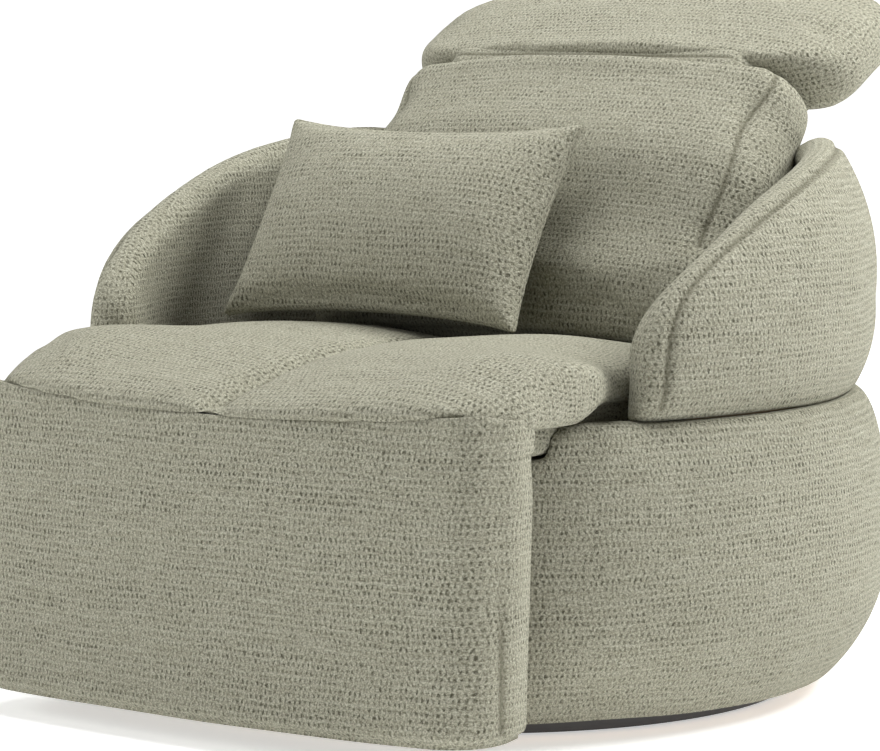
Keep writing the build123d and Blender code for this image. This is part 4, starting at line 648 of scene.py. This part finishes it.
def fill_seat(obj):
    """Fills the front corners, draws the nose on to the panel's seam and the sides to the tub."""
    p = points_of(obj)
    x, y, z, hand = np.abs(p[:, 0]), p[:, 1].copy(), p[:, 2].copy(), np.sign(p[:, 0])
    nose_z = z[y < NOSE_FRONT].min()
    nose = ease(-y, *NOSE_Y)
    low = nose * (1 - ease(z, nose_z, nose_z + NOSE_BLEND))
    lift = ease(x, *LIFT_X) * ease(-y, *LIFT_Y) * ease(z, *LIFT_Z)
    corner = ease(x, *CORNER_X) * ease(-y, *CORNER_Y) * ease(z, *CORNER_Z)
    side = ease(x, *SIDE_X) * ease(-y, *SIDE_Y) * (1 - ease(z, *SIDE_Z))
    skirt = ease(x, *SKIRT_X) * ease(-y, *SKIRT_Y) * (1 - nose)
    skirt *= ease(z, nose_z - SKIRT_EDGE, nose_z) * (1 - ease(z, nose_z, nose_z + SKIRT_BLEND))
    plug = ease(x, *PLUG_X) * ease(-y, *PLUG_Y) * (1 - ease(z, PLUG_LOW, nose_z))
    p[:, 2] += SEAT_LIFT * lift + low * (seam_z(p[:, 0]) - nose_z) + skirt * (SKIRT_Z - nose_z)
    p[:, 1] += CORNER_BACK * corner - SEAT_NOSE * nose
    p[:, 0] += hand * (SEAT_SIDE * side - CORNER_IN * corner)
    bulge = np.sqrt(np.clip(1 - ((z - TUB_BULGE_Z) / TUB_BULGE_H) ** 2, 0, 1))
    reach = TUB_RIM_R + TUB_BULGE * bulge - TUB_CLEAR
    front_y = -np.sqrt(np.maximum(reach ** 2 - p[:, 0] ** 2, 0))
    p[:, 1] += plug * np.minimum(0, front_y - p[:, 1])
    set_points(obj, p)


def seat_channel(obj):
    """Path on the seat's top, along its middle."""
    tree, path = tree_of(obj), []
    for y in np.arange(CHANNEL_FRONT, CHANNEL_REAR, PATH_STEP):
        hit = tree.ray_cast(Vector((0, y, RAY_FROM)), Vector((0, 0, -1)))[0]
        if hit:
            path.append(tuple(hit))
    return even(obj, path)


seat = from_node("seat_cover", "seat_cushion")
voxel(seat, size=0.007, smooth=6)
fill_seat(seat)
puff(seat, cap=0.006, frames=14)
finer(seat)
groove(seat, seat_channel(seat), width=0.016, depth=0.013, shade_width=0.0042, pucker=0.0018, pitch=0.06, seed=4)
lumps(seat, height=0.0014, size=0.16, seed=8)
weave_flat(seat, X, Y, Z)
upholster(seat, "seat", "seat_cushion")

# Back, and the joint where it meets the headrest
hinge = next(Vector(j["pos_m"]) for j in frame["joints"] if j["name"] == "headrest_tilt")
back_up, back_out = leaning(35)
joint_up, joint_out = leaning(48.6)
# Rise of the cushions at the joint, how much less it is on the very edge, and over which distances
JOINT_RISE, JOINT_ROUND = 0.011, 0.38
JOINT_REACH, JOINT_EDGE, JOINT_DEPTH = (0.008, 0.10), (0.002, 0.014), (-0.06, -0.006)
BACK_WIDEN, WIDEN_REACH, STILL_REACH = 0.13, (0.02, 0.16), (0.02, 0.10)
BOXING_DEPTH, BOXING_LENGTH, BOXING_X = 0.022, 0.30, 0.2


def meet(obj, away, out, widen):
    """Fills a cushion's edge at the headrest joint: it covers the hinge and meets its neighbour."""
    p = points_of(obj)
    rel = p - np.array(hinge)
    far, depth = rel @ np.array(away), rel @ np.array(out)
    rise = JOINT_RISE * (1 - ease(far, *JOINT_REACH)) * (1 - JOINT_ROUND * (1 - ease(far, *JOINT_EDGE)))
    p += np.array(joint_out) * (rise * ease(depth, *JOINT_DEPTH))[:, None]
    p[:, 0] *= 1 + widen * (1 - ease(far, *WIDEN_REACH))
    set_points(obj, p)


def near_joint(obj, away):
    """1 at the headrest joint, 0 from a hand's width off it."""
    return 1 - ease((points_of(obj) - np.array(hinge)) @ np.array(away), *STILL_REACH)


def boxing_seam(obj, side):
    """Seam down the side of the back, a little behind its front face."""
    tree, path = tree_of(obj), []
    for down in np.arange(PATH_STEP, BOXING_LENGTH, PATH_STEP):
        spot = hinge - back_up * down + Vector((side * BOXING_X, 0, 0))
        face = tree.ray_cast(spot + back_out * RAY_FROM, -back_out)[0]
        if face is None:
            continue
        spot = face - back_out * BOXING_DEPTH
        edge = tree.ray_cast(Vector((side * RAY_FROM, spot.y, spot.z)), Vector((-side, 0, 0)))[0]
        if edge is not None:
            path.append(tuple(edge))
    return even(obj, path)


back = from_node("back_cover", "back_cushion")
voxel(back, size=0.007, smooth=4)
meet(back, -back_up, back_out, BACK_WIDEN)
puff(back, cap=0.012, frames=14, still=near_joint(back, -back_up))
finer(back)
lumps(back, height=0.0014, size=0.18, seed=11)
for side in (1, -1):
    seam = boxing_seam(back, side)
    groove(back, seam, width=0.005, depth=0.003, shade_width=0.0034, pucker=0.0004, seed=side + 6)
weave_flat(back, X, back_up, back_out)
upholster(back, "back", "back_cushion")

# Lining over the back's frame, seen from behind above the shell
LINING_OUT, LINING_T, LINING_TURN, RAIL_GAP = 0.028, 0.0025, 0.024, 0.003
LINING_DOWN, LINING_LENGTH, LINING_HALF_W = 0.255, 0.222, 0.268
LINING_TAPER, TAPER_SHARE = 0.045, (0.3, 1.0)
LINING_ROWS, LINING_COLS = 40, 70
SIDE_POWER, END_POWER = 10, 14


def lining():
    """A shallow cloth pan behind the frame, its edges turned forward to the cushion."""
    rails = points_of(nodes["back_cross_rails"]) - np.array(hinge)
    depth = LINING_OUT - RAIL_GAP - (rails @ np.array(back_out)).max()
    start = hinge - back_up * LINING_DOWN
    outer, inner = [], []
    for k in np.linspace(0, 1, LINING_ROWS):
        half_w = LINING_HALF_W - LINING_TAPER * float(ease(k, *TAPER_SHARE))
        row_o, row_i = [], []
        for share in np.linspace(-1, 1, LINING_COLS):
            turn_in = max(abs(share) ** SIDE_POWER, (2 * abs(k - 0.5)) ** END_POWER)
            spot = start + back_up * (LINING_LENGTH * k) - back_out * (depth - LINING_TURN * turn_in)
            row_o.append((share * half_w, spot.y, spot.z))
            spot = spot + back_out * LINING_T
            row_i.append((share * half_w, spot.y, spot.z))
        outer.append(row_o)
        inner.append(row_i)
    return ring_shell("back_lining", outer, inner)


cloth = lining()
lumps(cloth, height=0.0008, size=0.15, seed=31)
weave_flat(cloth, X, back_up, back_out)
dress(cloth)
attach(cloth, "back")

# Headrest, which lies nearly flat at rest
head_along, head_up = leaning(66)
HEAD_LINING = 0.0016
UNDER_FACE, UNDER_STILL, BOARD_RAMP = (0.2, 0.7), (0.0, 0.4), (0.006, 0.024)


def facing_down(obj):
    """1 where the headrest's cover faces straight down, -1 where it faces up."""
    return -(normals_of(obj) @ np.array(head_up))


def enclose_board(obj):
    """Carries the cover down round the plywood board on the headrest's underside."""
    up = np.array(head_up)
    board = ((points_of(nodes["headrest_board"]) - np.array(hinge)) @ up).min()
    half_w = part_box("headrest_board")[1][0]
    p = points_of(obj)
    depth = (p - np.array(hinge)) @ up
    beyond = ease(np.abs(p[:, 0]) - half_w, *BOARD_RAMP)
    under = ease(facing_down(obj), *UNDER_FACE) * (1 - beyond)
    p += up * (under * np.minimum(0, board - HEAD_LINING - depth))[:, None]
    set_points(obj, p)


head = from_node("headrest_cover", "headrest_cushion")
voxel(head, size=0.007, smooth=4)
meet(head, head_along, head_up, 0.0)
still = np.maximum(near_joint(head, head_along), ease(facing_down(head), *UNDER_STILL))
puff(head, cap=0.008, frames=12, still=still)
finer(head)
lumps(head, height=0.0012, size=0.18, seed=12)
enclose_board(head)
weave_flat(head, X, head_along, head_up)
upholster(head, "headrest", "headrest_cushion")

# Crease between back and headrest: a strip over the joint
CREASE_HALF_W, CREASE_HALF_L, CREASE_T = 0.258, 0.013, 0.0024
CREASE_RISE, CREASE_ROUND, CREASE_DROP, CREASE_FLAT = 0.0087, 0.0012, 0.034, 0.80
CREASE_SEAM_X, CREASE_SEAM_POINTS, CREASE_BLEND = 0.25, 30, 0.012
CREASE_ROWS, CREASE_COLS = 13, 90


def crease():
    """A thin strip over the hinge line, its ends dropped into the gap between the cushions."""
    outer, inner = [], []
    for k in np.linspace(-1, 1, CREASE_ROWS):
        rise = CREASE_RISE - CREASE_ROUND * k * k
        row_o, row_i = [], []
        for x in np.linspace(-CREASE_HALF_W, CREASE_HALF_W, CREASE_COLS):
            drop = CREASE_DROP * ease(abs(x), CREASE_FLAT * CREASE_HALF_W, CREASE_HALF_W)
            spot = hinge + joint_up * (k * CREASE_HALF_L) + joint_out * (rise - drop)
            row_o.append((x, spot.y, spot.z))
            spot = spot - joint_out * CREASE_T
            row_i.append((x, spot.y, spot.z))
        outer.append(row_o)
        inner.append(row_i)
    return ring_shell("headrest_crease", outer, inner)


strip = crease()
middle, reach = hinge + joint_out * CREASE_RISE, joint_up * CREASE_BLEND
seam = [(x, middle.y, middle.z) for x in np.linspace(-CREASE_SEAM_X, CREASE_SEAM_X, CREASE_SEAM_POINTS)]
groove(strip, seam, width=0.004, depth=0.0010, shade_width=0.0030)
weave_flat(strip, X, joint_up, joint_out)
dress(strip)
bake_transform(strip)

# Footrest panel: one padded skin that runs up to the seam under the seat
PANEL_TOP, PANEL_FALL, FALL_SIDE = 0.396, 0.010, (0.6, 0.97)
PANEL_TAPER, TAPER_Z = 0.015, (0.29, 0.39)
PANEL_BULGE, BULGE_Z, END_FLAT, END_SIDE = 0.010, (0.10, 0.335), 0.8, (0.4, 0.9)
PAD_T, LIP_T, LIP_FROM, SEAM_OVER = 0.038, 0.007, pad_hi[2] - 0.010, 0.003
FOOT_IN, FOOT_ROUND, FOOT_H = 0.010, 0.014, 0.020
HEM_DROP, HEM_T, HEM_STEP = 0.006, 0.0165, 0.001
HEM_ROWS, FOOT_STEPS, FACE_ROWS, END_SEAM_POINTS = 6, 6, 66, 40
# Plan of the CAD panel, found by rays at two heights: its corner, its wrapped end and its last ray
PANEL_CORNER, PANEL_WRAP, PANEL_END, PANEL_INSET = 0.082, 0.060, 0.042, 0.06
CORNER_ANGLES, END_RAYS, CORNER_RAYS, FRONT_RAYS = (90, 4), 3, 14, 44
FLAP_OVER = 0.003
END_SEAM, END_SEAM_Z, END_SEAM_SWELL = 3, (0.03, 0.39), 0.006
PANEL_LOW, PANEL_HIGH = pad_lo[2] + PANEL_INSET, pad_hi[2] - PANEL_INSET


def panel_rays(z):
    """Rays on to the outside of the CAD panel at a height, from a wrapped end to the middle."""
    half, end_y = pad_hi[0] - PANEL_CORNER, pad_hi[1] - PANEL_WRAP
    for y in np.linspace(pad_hi[1] - PANEL_END, end_y, END_RAYS)[:-1]:
        yield Vector((RAY_FROM, y, z)), Vector((-1, 0, 0))
    for angle in np.linspace(*CORNER_ANGLES, CORNER_RAYS):
        a = math.radians(angle)
        way = Vector((math.sin(a), -math.cos(a), 0))
        yield Vector((half, end_y, z)) + way * RAY_FROM, -way
    for x in np.linspace(half, 0, FRONT_RAYS):
        yield Vector((x, -RAY_FROM, z)), Vector((0, 1, 0))


def half_plans():
    """Plan points of half the panel, low and high, from a flap over the board's end to the middle."""
    tree, pairs = tree_of(nodes["footrest_pad"]), []
    for low, high in zip(panel_rays(PANEL_LOW), panel_rays(PANEL_HIGH)):
        hits = [tree.ray_cast(*low)[0], tree.ray_cast(*high)[0]]
        if None not in hits:
            pairs.append([(h.x, h.y) for h in hits])
    back_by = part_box("footrest_board")[1][1] + FLAP_OVER - pairs[0][0][1]
    return np.array([[(x, y + back_by) for x, y in pairs[0]]] + pairs)


half_plan = half_plans()


def panel_outline(z):
    """Outside of the panel at a height, from one wrapped end to the other, as plan points."""
    share = (z - PANEL_LOW) / (PANEL_HIGH - PANEL_LOW)
    right = half_plan[:, 0] + share * (half_plan[:, 1] - half_plan[:, 0])
    return np.concatenate([right, (right * (-1, 1))[-2::-1]])


def panel_row(z):
    """Outer and inner points of the panel's skin at a height."""
    plan = panel_outline(z) * (1 - PANEL_TAPER * float(ease(z, *TAPER_Z)), 1)
    step = np.gradient(plan, axis=0)
    away = np.stack([-step[:, 1], step[:, 0]], axis=1)
    away /= np.maximum(np.linalg.norm(away, axis=1, keepdims=True), 1e-9)
    if away[len(away) // 2][1] > 0:
        away = -away
    to_side = np.abs(away[:, 0])
    foot = max(0.0, 1 - (z - pad_lo[2]) / FOOT_ROUND)
    bulge = PANEL_BULGE * float(ease(z, *BULGE_Z)) - FOOT_IN * (1 - math.sqrt(max(0.0, 1 - foot * foot)))
    thick = PAD_T + bulge if z < LIP_FROM else LIP_T
    if z < pad_lo[2]:
        thick += HEM_T
    swell = bulge * (1 - END_FLAT * ease(to_side, *END_SIDE))[:, None] if bulge > 0 else bulge
    fall = PANEL_FALL * ease(to_side, *FALL_SIDE)
    tops = z + float(ease(z, LIP_FROM, PANEL_TOP)) * (seam_z(plan[:, 0]) + SEAM_OVER - fall - PANEL_TOP)
    sides = plan + away * swell, plan + away * (swell - thick)
    return [[(x, y, top) for (x, y), top in zip(side, tops)] for side in sides]


def panel_cover():
    """The panel's skin, from the hem under the board's edge to the lip at the seat's seam."""
    foot_top = pad_lo[2] + FOOT_H
    heights = [*np.linspace(pad_lo[2] - HEM_DROP, pad_lo[2] - HEM_STEP, HEM_ROWS),
               *np.linspace(pad_lo[2], foot_top, FOOT_STEPS)[:-1],
               *np.linspace(foot_top, PANEL_TOP, FACE_ROWS)]
    outer, inner = zip(*(panel_row(float(z)) for z in heights))
    return ring_shell("footrest_cover", outer, inner)


def end_seam(column):
    """Seam up a wrapped end of the panel, along one column of its outline."""
    path = []
    for z in np.linspace(*END_SEAM_Z, END_SEAM_POINTS):
        x, y = panel_outline(z)[column]
        path.append((x, y - END_SEAM_SWELL * float(ease(z, *BULGE_Z)), z))
    return path


panel = panel_cover()
soften(panel, 3)
lumps(panel, height=0.0009, size=0.2, seed=21)
for column in (END_SEAM, -1 - END_SEAM):
    groove(panel, end_seam(column), width=0.005, depth=0.003, shade_width=0.0022)
weave_flat(panel, X, Z, Y)
dress(panel)
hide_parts("footrest_pad")
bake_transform(panel)

# Pillow
pillow_up, pillow_out = leaning(32)
PILLOW_POINT, PILLOW_WAIST = 0.004, 0.010


def point_corners(obj):
    """Draws the sides in and the corners out, as a stuffed pillow's are."""
    p = points_of(obj)
    mid = (p.max(axis=0) + p.min(axis=0)) / 2
    x, v = p[:, 0] - mid[0], (p - mid) @ np.array(pillow_up)
    sx, sv = x / np.abs(x).max(), v / np.abs(v).max()
    grow_x = PILLOW_POINT * np.abs(sv) ** 3 - PILLOW_WAIST * (1 - sv ** 2)
    grow_v = PILLOW_POINT * np.abs(sx) ** 3 - PILLOW_WAIST * (1 - sx ** 2)
    p[:, 0] += np.sign(x) * sx ** 2 * grow_x
    p += np.array(pillow_up) * (np.sign(v) * sv ** 2 * grow_v)[:, None]
    set_points(obj, p)


pillow = from_node("pillow_cover", "lumbar_pillow")
voxel(pillow, size=0.006, smooth=2)
point_corners(pillow)
puff(pillow, cap=0.010, frames=12)
finer(pillow)
weave_flat(pillow, X, pillow_up, pillow_out)
upholster(pillow, "pillow", "lumbar_pillow")

# Floor: a disc whose far rim rises to fill the view, and which glows more with distance
FLOOR_R, FAR_R, FAR_RISE, FLOOR_SIDES = 40.0, 3000.0, 240.0, 48
FLOOR_GREY, FLOOR_PALE = (0.90, 0.90, 0.895), (0.93, 0.93, 0.925)
GLOW_NEAR_R, GLOW_FAR_R, GLOW_NEAR, GLOW_FAR = 3.0, 8.0, 0.5, 1.0


def floor_material():
    t = Tree("floor")
    place = t.add("ShaderNodeTexCoord").outputs["Object"]
    t.link(t.mix(t.noise(place, 3.0), FLOOR_GREY, FLOOR_PALE), t.bsdf.inputs["Base Color"])
    t.bsdf.inputs["Roughness"].default_value = 0.8
    t.bsdf.inputs["Emission Color"].default_value = (1, 1, 1, 1)
    off = t.add("ShaderNodeVectorMath", operation="LENGTH")
    t.link(place, off.inputs[0])
    glow = t.span(off.outputs["Value"], GLOW_NEAR_R, GLOW_FAR_R, GLOW_NEAR, GLOW_FAR)
    t.link(glow, t.bsdf.inputs["Emission Strength"])
    return t.mat


def floor():
    bm = bmesh.new()
    angles = np.linspace(0, TURN, FLOOR_SIDES, endpoint=False)
    near, far = ([bm.verts.new((r * math.cos(a), r * math.sin(a), z)) for a in angles]
                 for r, z in ((FLOOR_R, 0.0), (FAR_R, FAR_RISE)))
    bm.faces.new(near)
    for i in range(FLOOR_SIDES):
        j = (i + 1) % FLOOR_SIDES
        bm.faces.new((near[i], far[i], far[j], near[j]))
    mesh = bpy.data.meshes.new("floor")
    bm.to_mesh(mesh)
    bm.free()
    mesh.materials.append(floor_material())
    placed("floor", mesh)


# Light: place, diameter and power of each lamp
LIGHT_AIM = Vector((0, 0, 0.4))
LIGHTS = {
    "key": ((2.5, 1.9, 3.7), 2.4, 268),
    "top": ((-0.2, -0.4, 4.2), 2.0, 100),
    "fill": ((-3.0, -3.2, 2.0), 3.0, 78),
}
WORLD_LIGHT = 0.165


def lamp(name, place, size, power):
    data = bpy.data.lights.new(name, "AREA")
    data.shape = "DISK"
    data.size = size
    data.energy = power
    obj = placed(name, data)
    obj.location = place
    obj.rotation_euler = (LIGHT_AIM - Vector(place)).to_track_quat("-Z", "Y").to_euler()


floor()
world = bpy.data.worlds.new("studio")
scene.world = world
world.use_nodes = True
background = world.node_tree.nodes["Background"]
background.inputs["Color"].default_value = (1, 1, 1, 1)
background.inputs["Strength"].default_value = WORLD_LIGHT
for name, values in LIGHTS.items():
    lamp(name, *values)
scene.view_settings.view_transform = "Standard"

# Camera, fitted to the photo
CAMERA_PLACE = (2.639, -3.853, 0.858)
CAMERA_PITCH, CAMERA_TURN = math.radians(5.795), math.radians(35)
CAMERA_LENS, CAMERA_SENSOR, CAMERA_SIGHT = 151.4, 36.0, 9000

cam_data = bpy.data.cameras.new("camera")
cam_data.sensor_width = CAMERA_SENSOR
cam_data.lens = CAMERA_LENS
cam_data.clip_end = CAMERA_SIGHT
camera = placed("camera", cam_data)
camera.location = CAMERA_PLACE
flat = math.cos(CAMERA_PITCH)
aim = Vector((-math.sin(CAMERA_TURN) * flat, math.cos(CAMERA_TURN) * flat, -math.sin(CAMERA_PITCH)))
camera.rotation_mode = "QUATERNION"
camera.rotation_quaternion = aim.to_track_quat("-Z", "Y")
scene.camera = camera
